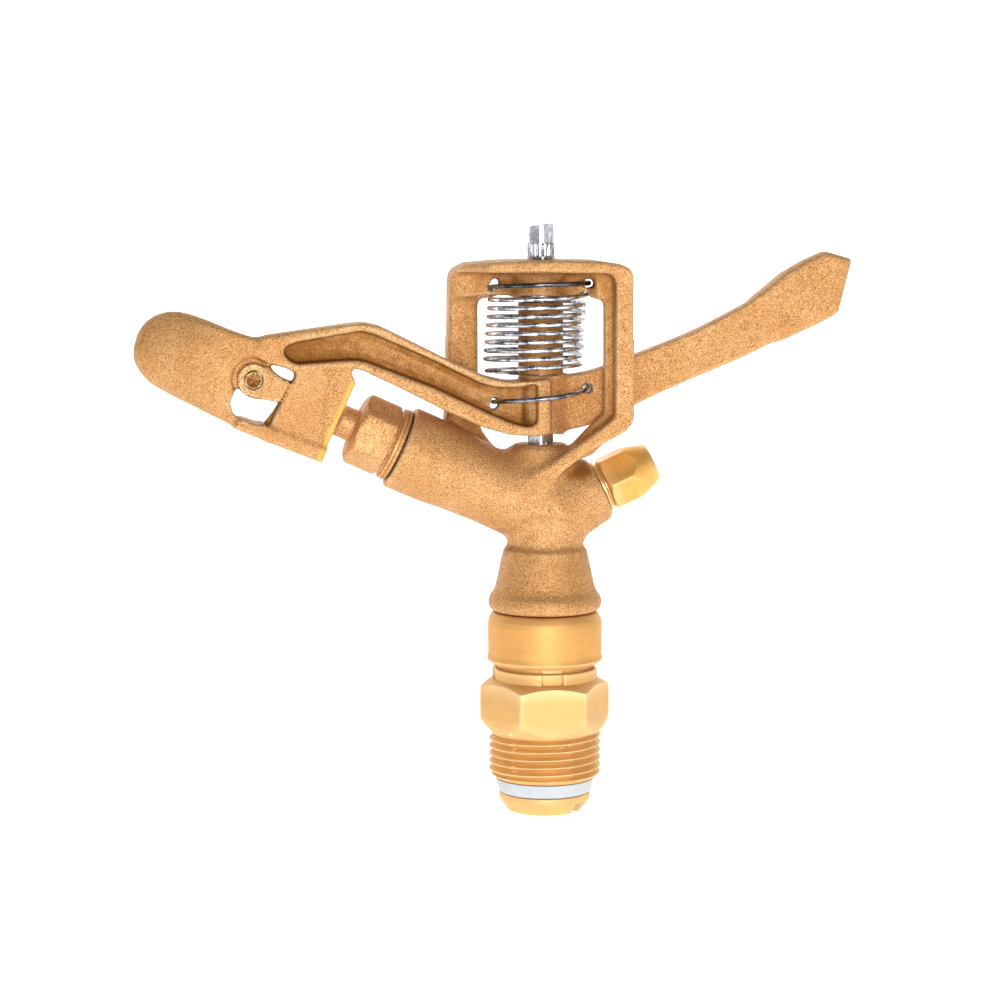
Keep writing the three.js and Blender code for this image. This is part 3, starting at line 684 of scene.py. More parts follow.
def wire_drift(turn):
    """How far the coil's centre stands off the arm's axis after a number of turns."""
    if turn < 1:
        return DRIFT_FOOT * max(turn, 0)
    if turn > WIRE_TURNS:
        return DRIFT_TOP * max(WIRE_TURNS + 1 - turn, 0)
    return DRIFT_FOOT + (DRIFT_TOP - DRIFT_FOOT) * (turn - 1) / (WIRE_TURNS - 1)


def wire_path(start, end, steps_per_turn=48):
    """Points along the arm spring's wire between two counts of turns."""
    steps = max(2, int((end - start) * steps_per_turn))
    path = []
    for i in range(steps + 1):
        turn = start + (end - start) * i / steps
        angle = 2 * math.pi * turn - math.pi / 2
        centre = FULCRUM + wire_drift(turn)
        path.append((centre + WIRE_COIL * math.cos(angle), WIRE_COIL * math.sin(angle), wire_height(turn)))
    return path


def body_casting():
    """The body: base cone, barrel, spreader boss and pin boss, with two legs and the bridge."""
    g = Grid((-39.5, -14, 46.5), (21.5, 13.5, 131.5), CASTING_STEP)
    base = turned(g, [
        (0, 47.9), (12.4, 47.9), (13.1, 48.6), (13.4, 49.8), (13.1, 51.2), (12.1, 52.6), (11.65, 53.8),
        (10.9, 57.4), (9.85, 62.2), (9.3, 62.8), (8.85, 63.6), (8.8, 67), (8, 74), (0, 75),
    ])
    barrel = turned(g, [
        (0, -4), (7, -4), (9.1, 6), (9.0, 16), (9.35, 22.8), (9.3, 23.1), (9.8, 28), (9.9, 33),
        (9.9, 37.3), (9.5, 37.8), (0, 37.8),
    ], RANGE_MEETING, RANGE_AXIS)
    boss = turned(g, [
        (0, -3), (7, -3), (9.3, 3), (7.7, 13.6), (7.2, 14.2), (0, 14.2),
    ], SPREADER_MEETING, SPREADER_AXIS)
    pin_boss = turned(g, [
        (0, 72), (9.6, 72), (8.4, 79), (7.5, 83.4), (6.9, 86.2), (5.9, 87.3), (0, 87.3),
    ], (FULCRUM, 0, 0))
    metal = union(union(base, barrel, 2.0), boss, 2.4)
    metal = union(metal, pin_boss, 3.6)

    left_leg = slab(g, [
        (-22.1, 131.5), (-12, 131.5), (-12, 121.9), (-15.2, 121.9), (-15.1, 98), (-14.5, 90.4),
        (-11.6, 86.2), (-8.4, 83), (-12, 76), (-22, 78), (-23.2, 89), (-22.5, 97),
    ], 4.6, 12, edge=1.3, soften=1.2)
    metal = union(metal, left_leg, 3.0)

    right_leg = slab(g, [
        (14.6, 126), (14.6, 94.3), (12, 92.1), (8.6, 89.7), (3.2, 85.7), (-5.2, 79.5), (-3.6, 76.4),
        (3.2, 81.7), (8.6, 86.2), (17.4, 91.0), (19, 93.2), (19, 131.5), (14.6, 131.5),
    ], -12.5, -4.2, edge=0.9, soften=0.9)
    foot_taper = (-12.7 + np.maximum(0, 12.6 - g.x) * 0.28 - g.y) * 0.96
    right_leg = overlap(right_leg, foot_taper, 1.0)
    right_web = slab(g, [
        (11, 127), (11, 121.9), (12.8, 121.8), (12.9, 94.8), (9.4, 91.6), (7.2, 89.2), (5.6, 87.2),
        (4, 83), (10, 85), (17, 92), (18, 127),
    ], -7.6, -4.2, edge=0.7, soften=0.8)
    metal = union(metal, union(right_leg, right_web, 1.2), 2.4)

    rim = plate(g, [
        (-22.0, 11.9), (-22.1, 3.2), (-20.0, -0.5), (-14, -6.6), (-5, -9.2), (6, -11.4), (12, -12.4),
        (18.9, -12.5), (18.9, -4.3), (16, -1), (12, 6.3), (3, 9.6), (-6, 11), (-12, 12),
    ], 127.3, 133, edge=0.9)
    turn = math.radians(-18)
    across = -g.x * math.sin(turn) + g.y * math.cos(turn)
    web_ends = np.maximum(g.x - 17.6, -20.8 - g.x)
    web_sides = np.maximum(np.abs(across) - 2.4, np.maximum(121.9 - g.z, g.z - 130))
    web = prism(np.broadcast_to(web_sides, g.shape()), np.broadcast_to(web_ends, g.shape()), 0.7)
    web = union(web, rod(g, 6.2, 121.9, 129.6, (FULCRUM, 0, 0)), 2.0)
    bridge = union(rim, web, 2.6)
    metal = union(metal, bridge, 3.0)
    crown = slab(g, [
        (-22.5, 110), (-22.2, 124.8), (-21.6, 126.8), (-20.6, 128.1), (-18, 129.4), (-10, 130.05),
        (1, 130.3), (11, 130.1), (15.4, 129.5), (17.8, 128.4), (18.8, 126.6), (19.0, 124.4), (19.0, 110),
    ], -20, 20)
    above = g.z - 112
    metal = np.where(above > 0, overlap(metal, crown, 1.1), metal)

    for radius, foot, top, meeting, axis in (
        (BARREL_BORE, 0, BARREL_FACE + 2, RANGE_MEETING, RANGE_AXIS),
        (NOZZLE_SOCKET, BARREL_FACE - SOCKET_DEPTH, BARREL_FACE + 2, RANGE_MEETING, RANGE_AXIS),
        (SPREADER_BORE, 0, SPREADER_FACE + 0.8, SPREADER_MEETING, SPREADER_AXIS),
        (SPREADER_SOCKET, 7.5, SPREADER_FACE + 2.8, SPREADER_MEETING, SPREADER_AXIS),
    ):
        metal = carve(metal, rod(g, radius, foot, top, meeting, axis), 0.3)
    metal = carve(metal, rod(g, RISER_BORE, 46, 71.6), 0.2)
    metal = carve(metal, rod(g, NIPPLE_SOCKET, 45, 58.2), 0.3)
    metal = carve(metal, rod(g, PIN_HOLE, 80.3, 135, (FULCRUM, 0, 0)), 0.3)
    holes = wire_path(WIRE_TURNS + 0.02, WIRE_TURNS + 1.36)
    metal = carve(metal, wire_tunnel(g, WIRE_TUNNEL, holes), 0.3)
    for spot in BRIDGE_HOLES:
        metal = carve(metal, rod_along_y(g, WIRE_HOLE, -20, 9, spot), 0.3)
    return g.mesh("body_casting_fine", metal)


def spoon_part(g):
    """The spoon: a plate that curves away from the front towards its round end."""
    top = smooth_line([
        (-50, 114.6), (-58, 113.8), (-67, 112.9), (-72, 114.1), (-78.8, 116.8), (-83.5, 118.3),
        (-86.8, 118.6), (-89.8, 117.9), (-92.6, 116.1), (-94.5, 113.4),
    ])
    tip = smooth_line([
        (-95.4, 110.4), (-95.4, 107.7), (-94.4, 105.2), (-91.8, 102.2), (-87.6, 99.7),
        (-81.1, 96.5), (-71.7, 91.9), (-62.3, 88), (-53, 84.5),
    ])
    flat = polygon_distance(g.x, g.z, top + tip)
    bent = np.maximum(0, -70 - g.x)
    x = g.x.ravel()
    middle = np.interp(x, [-96, -89, -80, -70, -50], [108.7, 109.3, 106.6, 102.6, 99]).reshape(g.x.shape)
    half = np.interp(x, [-96, -92, -87, -78, -70], [6, 8, 9.6, 10.4, 10.6]).reshape(g.x.shape)
    across = np.clip((g.z - middle) / half, -1.15, 1.15)
    crown = np.minimum(1, bent / 12) * 2.6 * (across * across - 0.4)
    front = -6.2 + 0.0145 * bent * bent + crown
    lean = np.sqrt(1 + (0.029 * bent) ** 2)
    depth = (np.abs(g.y - front - 1.7) - 1.7) / lean
    return prism(flat, depth, 1.35)


def arm_casting():
    """The arm: spoon and vane, channelled beam, hub and tail, with the vane's cut face marked."""
    g = Grid((-97, -9.2, 82.4), (74, 12, 133), CASTING_STEP)
    vane = slab(g, [
        VANE_FOOT, (-44.9, 102.2), (-45.6, 103.8), (-46.5, 108), (-58.2, 108), (-58.6, 103.8),
        (-65.2, 92.6), (-66.4, 89.5),
    ], -5.8, -2.6, edge=0.4)
    lower_rail = slab(g, [
        VANE_FOOT, (-51.9, 87.0), (-64.2, 92.0), (-71, 94.9), (-73, 92.2), (-62.3, 88.1),
    ], -6.6, 6.4, edge=0.7)
    head = union(union(spoon_part(g), vane, 0.8), lower_rail, 1.2)
    behind_tongue = slab(g, [
        (-60.2, 104.2), (-66.0, 92.9), (-64.9, 92.5), (-58.2, 105.4),
    ], -12, -4.0, edge=0.1, soften=0.4)
    head = carve(head, behind_tongue, 0.6)
    upper_window = slab(g, [
        (-67.4, 108.2), (-65.6, 108.2), (-63.1, 107.3), (-60.4, 106.1), (-58.9, 104.5), (-59.6, 102.6),
        (-61.8, 103.5), (-63.4, 104.6), (-65.4, 106.9),
    ], -20, 20, edge=0.1, soften=0.4)
    lower_window = slab(g, [
        (-72.2, 101.6), (-73.8, 98.0), (-73.0, 95.3), (-71.2, 94.2), (-67.4, 92.9), (-66.2, 93.1),
        (-64.2, 95.6), (-62.2, 98.6), (-64.4, 98.8), (-67.6, 98.8), (-69.8, 99.3),
    ], -20, 20, edge=0.1, soften=0.4)
    head = carve(head, upper_window, 0.7)
    head = carve(head, lower_window, 0.7)
    head = carve(head, rod_along_y(g, 4.9, -12, -5.75, VANE_PIN), 1.0)
    tongue = slab(g, [
        (-65.4, 106.6), (-63.4, 104.6), (-61.8, 103.4), (-59.9, 102.6), (-62.5, 97.9), (-65.6, 98.6),
        (-68.5, 99.0), (-70, 103),
    ], -6.7, -2.4, edge=0.5, soften=0.6)

    beam = slab(g, [
        (0.4, 102.9), (-4, 102.3), (-9.5, 102.2), (-14.4, 103.3), (-23.1, 107.2), (-39, 115.2),
        (-42.5, 116.0), (-46, 115.8), (-57.5, 114.2), (-66, 113.0), (-68, 109.4), (-65, 106.9),
        (-58.9, 105.6), (-45.8, 105.8), (-43.2, 105.0), (-34, 100.6), (-24.5, 95.7), (-15.1, 91.5),
        (-9.2, 89.8), (-3.3, 89.4), (0.4, 89.8),
    ], -6.4, 2.8, edge=0.75, soften=0.8)
    channel = [
        (-60.6, 107.9), (-61.6, 109.3), (-61.0, 110.8), (-58.3, 111.8), (-43.5, 114.2), (-40.5, 113.4),
        (-26.9, 107.3), (-16, 101.9), (-12, 100.8), (-7, 100.8), (-2.7, 101.8), (-2.7, 92.4), (-5, 91.6),
        (-8.3, 92.4), (-13.7, 94.7), (-26.9, 101.0), (-42.6, 107.1), (-45.5, 107.6), (-58.6, 106.7),
    ]
    front_channel = slab(g, channel, -12, -2.2, edge=0.9, soften=0.8)
    back_channel = slab(g, channel, 1.3, 9, edge=0.6, soften=0.8)

    tail_top = smooth_line([
        (2, 103), (9.2, 104), (14, 105.4), (21.2, 108), (34.1, 113), (44.2, 117.9), (50.6, 121.6),
        (57.4, 126.8), (62, 129.6), (66.6, 131.4),
    ], 4)
    tail_foot = smooth_line([
        (69.3, 117.8), (65.1, 115.5), (55.7, 111.3), (46.2, 106.9), (36.8, 103.1), (27.4, 99.1),
        (22.6, 96.9), (14.2, 92.9), (8, 91), (2, 90),
    ], 4)
    tail = slab(g, tail_top + [(72.3, 129.8)] + tail_foot, -2.6, 2.4, edge=0.8, soften=0.4)
    weight = slab(g, [
        (50, 120.8), (57.4, 126.8), (66.6, 131.4), (72.3, 129.8), (69.3, 117.8), (65.1, 115.5),
        (55.7, 111.3),
    ], -2.6, 6.4, edge=1.0, soften=0.6)
    tail = union(tail, weight, 2.0)

    metal = carve(carve(union(head, beam, 1.6), front_channel, 1.0), back_channel, 0.8)
    metal = union(union(metal, rod(g, 5.15, 89.8, 103.4, (FULCRUM, 0, 0)), 0.8), tail, 2.2)
    boss = union(rod_along_y(g, 3.7, -6.9, -2.4, VANE_PIN), tongue, 0.8)
    metal = union(metal, boss, 0.5)
    metal = carve(metal, rod(g, 4.15, 80, 110, (FULCRUM, 0, 0)), 0.3)
    metal = carve(metal, rod_along_y(g, 2.1, -20, 20, VANE_PIN), 0.2)
    metal = carve(metal, wire_tunnel(g, WIRE_TUNNEL, wire_path(-0.33, 0.36)), 0.3)
    metal = carve(metal, wire_tunnel(g, WIRE_TUNNEL, wire_path(1.1, 1.4)), 0.3)
    for spot in ARM_HOLES:
        metal = carve(metal, rod_along_y(g, WIRE_HOLE, -20, 9, spot), 0.3)
    piece = g.mesh("arm_casting_fine", metal)
    spots = np.empty(len(piece.data.vertices) * 3)
    piece.data.vertices.foreach_get("co", spots)
    x, z = spots[0::3] / MM, spots[2::3] / MM
    across, down = VANE_FACE_NORMAL
    past_face = (x - VANE_FOOT[0]) * across + (z - VANE_FOOT[1]) * down
    on_vane = (z < 103) & (x < -44.2) & (x > -55)
    mark(piece, "machined", np.clip((past_face + CUT_WIDTH) / 0.3, 0, 1) * on_vane)
    return piece


# ---- Inlet pieces ----
THREAD = {"major": 13.22, "depth": 1.12, "pitch": 1.814, "start": 9.0, "end": 18.3}


def thread_radius(angle, height):
    """Radius of the male thread: rounded crests with a lead-in below and a run-out above."""
    phase = (height / THREAD["pitch"] - angle / (2 * math.pi)) % 1
    flank = abs(2 * phase - 1)
    tooth = min(1.0, max(0.0, 1.16 * flank - 0.08))
    tooth = tooth * tooth * (3 - 2 * tooth) * 0.35 + tooth * 0.65
    run_out = min(1.0, max(0.0, (height - THREAD["end"]) / 0.8))
    radius = THREAD["major"] - THREAD["depth"] * (1 - tooth) * (1 - run_out) - 0.75 * run_out
    lead_in = 11.75 + (height - 7.9) * 1.15
    return min(radius, lead_in)


def bearing_nut():
    hex_at = hexagon_radius(27)
    foot, top, full = 19.2, 31.4, 15.4
    lower = lambda a: (hex_at(a), foot + max(0, hex_at(a) - 13.2) * 1.3)
    upper = lambda a: (hex_at(a), top - max(0, hex_at(a) - 12.6) * 0.56)
    notch_half = 2.65

    def in_notch(angle, radius, half):
        """1 inside one of the four notches and 0 outside, with a steep side between."""
        sideways = abs(((angle + math.pi / 4) % (math.pi / 2)) - math.pi / 4) * radius
        return min(1.0, max(0.0, (half - sideways) / 0.18 + 0.5))

    def collar(height, radius=12.4):
        return lambda a: (radius - 0.4 * in_notch(a, radius, notch_half), height)

    def neck(height):
        return lambda a: (11.0 + 0.3 * in_notch(a, 11, notch_half - 0.2), height)

    rows = [(8.75, 8.3), (9.0, 7.95), (9.4, 7.9), (11.55, 7.9), (11.75, 8.0)]
    height = 8.1
    while height < 19.1:
        rows.append(lambda a, h=height: (thread_radius(a, h), h))
        height += 0.085
    rows += [(12.45, 19.12), (12.5, 19.2), (13.1, foot)]
    rows += [lambda a: (13.2 + (lower(a)[0] - 13.2) * 0.5, foot + (lower(a)[1] - foot) * 0.5)]
    rows += [lambda a: (lower(a)[0] - 0.05, lower(a)[1] - 0.07)]
    rows += [lambda a: (lower(a)[0], lower(a)[1] + 0.06)]
    for share in (0.25, 0.5, 0.75):
        rows.append(lambda a, t=share: (hex_at(a), lower(a)[1] + (upper(a)[1] - lower(a)[1]) * t))
    rows += [lambda a: (upper(a)[0], upper(a)[1] - 0.06)]
    rows += [lambda a: (upper(a)[0] - 0.06, upper(a)[1] + 0.04)]
    rows += [lambda a: (12.6 + (upper(a)[0] - 12.6) * 0.4, top - (top - upper(a)[1]) * 0.4)]
    rows += [(12.75, top), (12.5, top + 0.08), collar(31.6), collar(33.95), collar(34.15, 12.25)]
    rows += [(11.4, 34.2), (11.1, 34.22), neck(34.4), neck(35.6), neck(36.3), (10.8, 36.5)]
    rows += [(9.0, 36.5), (8.75, 36.3)]
    piece = sharpen(swept("bearing_nut_fine", rows, 288), 28)
    return dress(piece, "inlet", "turned_brass", BRASS, "bearing_nut")


def nipple():
    """The rotating tube, with a driver slot milled across its flange."""
    slot_half, slot_top, bore = 1.6, 2.6, 6.6
    profile = rounded([
        (6.6, 0), (8.76, 0), (10.85, 3), (10.85, 4.4), (8.5, 4.4), (8.5, 57.9), (6.6, 57.9),
    ], 0.3)
    piece = swept("nipple_tube_fine", profile, 160)
    cutter = mesh_object("slot_cutter", [
        (x * 14 * MM, y * slot_half * MM, (slot_top if z else -2) * MM)
        for x in (-1, 1) for y in (-1, 1) for z in (0, 1)
    ], [(0, 1, 3, 2), (4, 6, 7, 5), (0, 4, 5, 1), (2, 3, 7, 6), (0, 2, 6, 4), (1, 5, 7, 3)], smooth=False)
    cutter.data.transform(Matrix.Rotation(math.radians(-45), 4, "Z"))
    cut = piece.modifiers.new("slot", "BOOLEAN")
    cut.operation, cut.object, cut.solver = "DIFFERENCE", cutter, "EXACT"
    bevel = piece.modifiers.new("edges", "BEVEL")
    bevel.width, bevel.segments, bevel.limit_method = 0.12 * MM, 2, "ANGLE"
    bevel.angle_limit = math.radians(50)
    apply_modifiers(piece)
    bpy.data.objects.remove(cutter)
    dress(sharpen(piece, 35), "sprinkler_body", "turned_brass", BRASS, "nipple_tube")
    # The slot's faces and the bore get the near-black brass: painted shade inside them.
    piece.data.materials.append(SLOT_AND_BORE_SHADE)
    for face in piece.data.polygons:
        x, y, z = face.center / MM
        in_slot = abs(x + y) / math.sqrt(2) < slot_half + 0.05 and z < slot_top + 0.05
        if in_slot or math.hypot(x, y) < bore + 0.1:
            face.material_index = 1
    return piece


def turned_pieces():
    """The plain turned pieces round the riser's axis."""
    for name, profile, radius, body, slot, material in (
        ("lower_seal_washer", [(8.7, 4.6), (10.9, 4.6), (11.7, 7.7), (10.6, 7.7), (10.6, 6.5), (8.7, 6.5)],
         0.22, "bearing_float", "white_plastic", WHITE),
        ("spring_cover", [
            (11.5, 35.1), (12.7, 35.35), (13.7, 36.25), (13.55, 36.9), (13.4, 37.6), (13.5, 44.6),
            (13.3, 45.9), (12.75, 47.0), (12.2, 47.5), (8.8, 47.5), (8.8, 46.3), (12.2, 46.3),
            (12.2, 36.8), (11.5, 36.4),
        ], 0.35, "bearing_float", "turned_brass", COVER_BRASS),
    ):
        dress(sharpen(lathe(name + "_fine", profile, radius, 160), 35), body, slot, material, name)


# ---- Nozzles ----
PLUG_FLATS = 11.9


def along_outlet(node, rows, slot, material, origin, axis, degrees=30):
    """A turned piece of the rotating body, swept round an outlet's axis."""
    piece = sharpen(aim(swept(node + "_fine", rows), origin, axis), degrees)
    return dress(piece, "sprinkler_body", slot, material, node)


def range_nozzle():
    hex_at = hexagon_radius(15.4, 0.7)
    foot, top = 40.4, 49.4
    lower = lambda a: foot + max(0, hex_at(a) - 7.7) * 0.55
    upper = lambda a: top - max(0, hex_at(a) - 7.2) * 0.75
    rows = [(5.2, 30.2), (5.6, 30), (6.9, 30), (7.2, 30.3), (7.2, 38.1), (7.4, 38.2), (8.5, 38.2)]
    rows += [(8.7, 38.35), (8.7, 38.9), (8.4, 39.0), (8.4, 39.15), (8.65, 39.25), (8.6, 39.8), (8.2, 39.9)]
    rows += [(7.8, 39.95), (7.7, 40.1), (7.6, 40.3)]
    rows += [lambda a: (7.3 + (hex_at(a) - 7.3) * 0.5, foot + (lower(a) - foot) * 0.4)]
    rows += [lambda a: (hex_at(a) - 0.15, lower(a) - 0.05), lambda a: (hex_at(a), lower(a) + 0.25)]
    rows += [lambda a, t=t: (hex_at(a), lower(a) + (upper(a) - lower(a)) * t) for t in (0.25, 0.5, 0.75)]
    rows += [lambda a: (hex_at(a), upper(a) - 0.3), lambda a: (hex_at(a) - 0.15, upper(a) - 0.02)]
    rows += [lambda a: (6.6 + (hex_at(a) - 6.9) * 0.3, top - 0.1), (6.2, top + 0.02), (5.0, top + 0.05)]
    rows += [(4.1, top + 0.12), (3.85, top + 0.5), (3.8, 52.9), (3.65, 53.15), (3.3, 53.2)]
    rows += [(2.6, 53.2), (2.35, 53), (2.3, 49.5), (3.0, 46.5), (4.6, 41)]
    along_outlet("range_nozzle", rows, "cast_bronze", CAST_FINE, RANGE_MEETING, RANGE_AXIS)


def range_gasket():
    rows = rounded([(7.4, 37.88), (8.0, 37.88), (8.0, 38.12), (7.4, 38.12)], 0.08)
    along_outlet("range_gasket", rows, "rubber", RUBBER, RANGE_MEETING, RANGE_AXIS)


def spreader_nozzle():
    """A hexagon plug that tapers to a round nose, so that its faces end in scallops."""
    hex_at = hexagon_radius(PLUG_FLATS, 0.25, math.pi / 6)
    foot, nose, cone_foot, cone_top = 15.8, 28.1, 21.6, 4.5
    slope = (6.85 - cone_top) / (nose - cone_foot)
    meets = lambda a: nose - (hex_at(a) - cone_top) / slope
    lower = lambda a: foot + max(0, hex_at(a) - 5.8) * 0.8
    rows = [(2.6, 8.2), (2.8, 8), (3.8, 8), (4.0, 8.2), (4.0, 15.1), (4.2, 15.2), (5.2, 15.2), (5.4, 15.35)]
    rows += [(5.4, 15.5), (5.2, 15.65), (5.6, foot), lambda a: (hex_at(a) - 0.08, lower(a) - 0.04)]
    rows += [lambda a: (hex_at(a), lower(a) + 0.1)]
    rows += [lambda a, t=t: (hex_at(a), lower(a) + (meets(a) - lower(a)) * t) for t in (0.33, 0.66)]
    rows += [lambda a: (hex_at(a), meets(a) - 0.08)]
    rows += [lambda a, t=t: (hex_at(a) + (cone_top - hex_at(a)) * t, meets(a) + (nose - meets(a)) * t)
             for t in (0.02, 0.3, 0.6, 0.94)]
    rows += [(cone_top - 0.08, nose - 0.02), (cone_top - 0.3, nose), (2.9, nose), (2.6, nose - 0.15)]
    rows += [(1.3, 26.6), (1.2, 26.4), (1.2, 24.2), (1.3, 24), (2.6, 22)]
    place = (SPREADER_MEETING, SPREADER_AXIS)
    along_outlet("spreader_nozzle", rows, "turned_brass", PLUG_BRASS, *place, degrees=12)
    washer = rounded([(4.3, 14.4), (6.3, 14.4), (6.3, 15.0), (4.3, 15.0)], 0.15)
    along_outlet("spreader_washer", washer, "turned_brass", PLUG_BRASS, *place)


# ---- Pins, springs, bushes and sleeve ----
def fulcrum_pin():
    """The steel pin: hexagonal under the arm's hub and at its slanted top, knurled in the bridge."""
    def knurl(height, depth=0.38):
        def row(angle):
            wave = 0.5 - 0.5 * math.cos(14 * angle)
            return 3.2 - depth * wave ** 2.2, height
        return row

    hex_at = hexagon_radius(6.0, 0.1, math.radians(-24))

    def six_sided(height, limit=3.4):
        return lambda a: (min(hex_at(a), limit), height)

    def slanted(share, height):
        return lambda a: (
            share * min(hex_at(a), 3.2), height + share * min(hex_at(a), 3.2) * math.cos(a) * 0.14,
        )

    rows = [(0.01, 80.7), (2.4, 80.7), (2.7, 80.8), (3.1, 81.2), (3.15, 81.4), (3.1, 87.45)]
    rows += [six_sided(87.6), six_sided(88.8), six_sided(89.9), (3.15, 90), (3.15, 100), (3.15, 130.8)]
    rows += [knurl(130.9, 0.05), knurl(131.2), knurl(132.5), knurl(133.6), knurl(133.9, 0.2)]
    rows += [six_sided(134.1, 3.2), six_sided(136, 3.2), slanted(1, 138.2), slanted(0.94, 138.35)]
    rows += [slanted(0.6, 138.4), slanted(0.01, 138.4)]
    piece = swept("fulcrum_pin_fine", rows, 168)
    piece.data.transform(Matrix.Translation((FULCRUM * MM, 0, 0)))
    return dress(sharpen(piece, 30), "sprinkler_body", "steel", STEEL, "fulcrum_pin")


def arm_spring():
    path = wire_path(-0.31, WIRE_TURNS + 1.31, 60)
    piece = tube("arm_spring_fine", path, WIRE_RADIUS)
    piece.data.materials.append(WIRE)
    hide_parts("arm_spring")
    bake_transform(piece)


def bearing_spring():
    turns, coil, foot, top = 3.5, 10.0, 38.0, 43.8
    count = 200
    path = [
        (coil * math.cos(2 * math.pi * turns * i / count), coil * math.sin(2 * math.pi * turns * i / count),
         foot + (top - foot) * i / count)
        for i in range(count + 1)
    ]
    piece = tube("bearing_spring_fine", path, 0.65)
    piece.data.materials.append(STEEL)
    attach(piece, "inlet")
    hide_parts("bearing_spring")
    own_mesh(piece)


def arm_bearing():
    for name, inner, outer, foot, top, body, material, slot in (
        ("arm_sleeve", 3.5, 5.3, 103.7, 120.4, "drive_arm", CAST_SHADED, "cast_bronze"),
        ("arm_bush_lower", 3.25, 4.05, 91.0, 97, "drive_arm", BRASS, "turned_brass"),
        ("arm_bush_upper", 3.25, 4.05, 97.2, 103.5, "drive_arm", BRASS, "turned_brass"),
        ("arm_thrust_washer", 3.3, 4.05, 90.2, 90.8, "sprinkler_body", STEEL, "steel"),
    ):
        profile = [(inner, foot), (outer, foot), (outer, top), (inner, top)]
        piece = lathe(name + "_fine", profile, 0.25, 96)
        piece.data.transform(Matrix.Translation((FULCRUM * MM, 0, 0)))
        dress(sharpen(piece, 35), body, slot, material, name)


def vane_pin():
    profile = rounded([(0.01, -0.5), (1.9, -0.5), (1.95, 7.2), (1.85, 7.3), (1.7, 7.3), (0.01, 5.7)], 0.1)
    piece = swept("vane_pin_fine", profile, 72)
    aim(piece, (VANE_PIN[0], 0, VANE_PIN[1]), (0, -1, 0))
    dress(sharpen(piece, 28), "drive_arm", "turned_brass", PIN_BRASS, "vane_pin")


FINISHES = {
    "cast_bronze": CAST, "turned_brass": BRASS, "steel": STEEL, "white_plastic": WHITE, "rubber": RUBBER,
}


def finish_cad_nodes():
    """Materials for the small inner CAD nodes that no finer piece stands for."""
    slots = {part["node"]: part["material_slot"] for part in frame["record"]["subparts"]}
    for name, node in NODES.items():
        if not node.hide_render:
            node.data.materials.clear()
            node.data.materials.append(FINISHES[slots[name]])


# ---- Floor, light and camera ----
LIT_POINT = (0, 0, 0.08)
FLOOR_FRONT, FLOOR_BACK, SWEEP_RADIUS, SWEEP_STEPS = -2.6, 0.45, 0.35, 12
BACKDROP_TOP, FLOOR_HALF_WIDTH = 1.6, 2.2


def studio():
    """A pale, faintly glowing paper sweep: a floor that curves up into a backdrop."""
    vertices, faces = [], []
    rows = [(FLOOR_FRONT, 0.0), (FLOOR_BACK, 0.0)]
    for i in range(1, SWEEP_STEPS + 1):
        angle = math.radians(90 * i / SWEEP_STEPS)
        rows.append((FLOOR_BACK + SWEEP_RADIUS * math.sin(angle), SWEEP_RADIUS * (1 - math.cos(angle))))
    rows.append((FLOOR_BACK + SWEEP_RADIUS, BACKDROP_TOP))
    for i, (y, z) in enumerate(rows):
        vertices += [(-FLOOR_HALF_WIDTH, y, z), (FLOOR_HALF_WIDTH, y, z)]
        if i:
            faces.append((2 * i - 2, 2 * i - 1, 2 * i + 1, 2 * i))
    floor = mesh_object("studio_floor", vertices, faces)
    paper = Shader("pale_paper", Roughness=0.9, Emission_Color=(1, 1, 1, 1), Emission_Strength=0.85)
    fibres = paper.noise(60, 3.0)
    shades = paper.ramp(fibres, [(0.3, (0.88, 0.88, 0.88)), (0.7, (0.91, 0.91, 0.91))])
    floor.data.materials.append(paper.finish(shades))


def look(spot, aim):
    return (Vector(aim) - Vector(spot)).to_track_quat("-Z", "Y").to_euler()


def area_light(name, spot, size, power):
    """A soft box, aimed at the middle of the sprinkler."""
    data = bpy.data.lights.new(name, "AREA")
    data.shape = "RECTANGLE"
    data.size, data.size_y = size
    data.energy = power
    light = bpy.data.objects.new(name, data)
    bpy.context.scene.collection.objects.link(light)
    light.location = spot
    light.rotation_euler = look(spot, LIT_POINT)


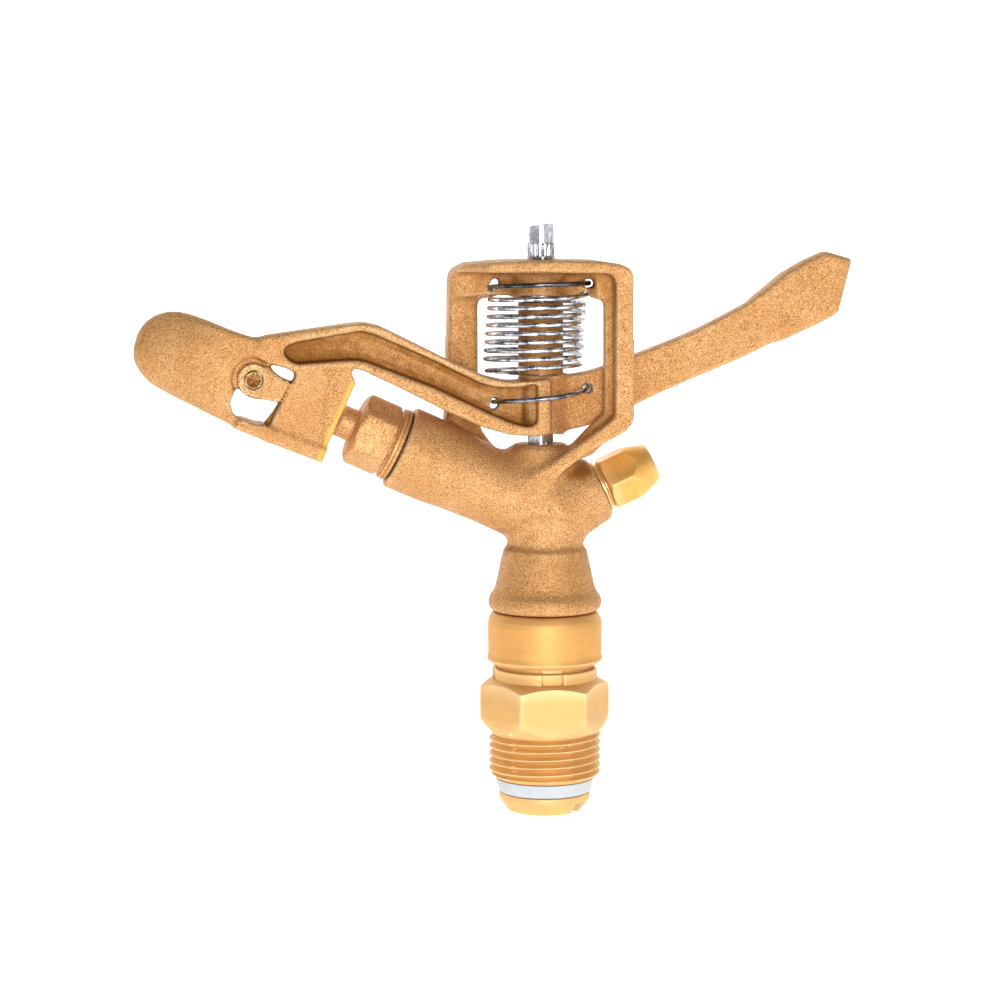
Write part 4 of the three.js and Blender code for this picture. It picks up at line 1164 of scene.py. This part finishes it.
def sky():
    """Soft light from all round, dimmer overhead than at the horizon."""
    world = bpy.data.worlds.new("studio")
    bpy.context.scene.world = world
    world.use_nodes = True
    background = world.node_tree.nodes["Background"]
    background.inputs["Strength"].default_value = 0.36
    direction = world.node_tree.nodes.new("ShaderNodeTexCoord")
    height = world.node_tree.nodes.new("ShaderNodeSeparateXYZ")
    shade = world.node_tree.nodes.new("ShaderNodeValToRGB")
    horizon, overhead = shade.color_ramp.elements
    horizon.position, horizon.color = 0.05, (1, 1, 1, 1)
    overhead.position, overhead.color = 0.7, (0.32, 0.32, 0.32, 1)
    world.node_tree.links.new(direction.outputs["Generated"], height.inputs["Vector"])
    world.node_tree.links.new(height.outputs["Z"], shade.inputs["Fac"])
    world.node_tree.links.new(shade.outputs["Color"], background.inputs["Color"])


def camera():
    azimuth, elevation, distance = math.radians(-8), math.radians(6.5), 0.65
    aim = Vector((-10.7, 0, 74.0)) * MM
    level = math.cos(elevation)
    away = Vector((math.sin(azimuth) * level, -math.cos(azimuth) * level, math.sin(elevation)))
    data = bpy.data.cameras.new("camera")
    data.lens = 99.7
    data.sensor_width = 36
    data.clip_start = 0.01
    made = bpy.data.objects.new("camera", data)
    bpy.context.scene.collection.objects.link(made)
    made.location = aim + away * distance
    made.rotation_euler = look(made.location, aim)
    bpy.context.scene.camera = made


# ---- The scene ----
dress(body_casting(), "sprinkler_body", "cast_bronze", CAST, "body_casting")
dress(arm_casting(), "drive_arm", "cast_bronze", CAST, "arm_casting")
bearing_nut()
nipple()
turned_pieces()
range_nozzle()
range_gasket()
spreader_nozzle()
fulcrum_pin()
arm_spring()
bearing_spring()
arm_bearing()
vane_pin()
finish_cad_nodes()

studio()
area_light("key", (-0.06, -0.92, 0.12), (0.45, 0.25), 4.9)
area_light("fill", (0.6, -0.55, 0.25), (0.3, 0.6), 0.45)
area_light("top", (0, 0.1, 0.8), (0.8, 0.5), 0.45)
sky()
bpy.context.scene.view_settings.view_transform = "Standard"
camera()
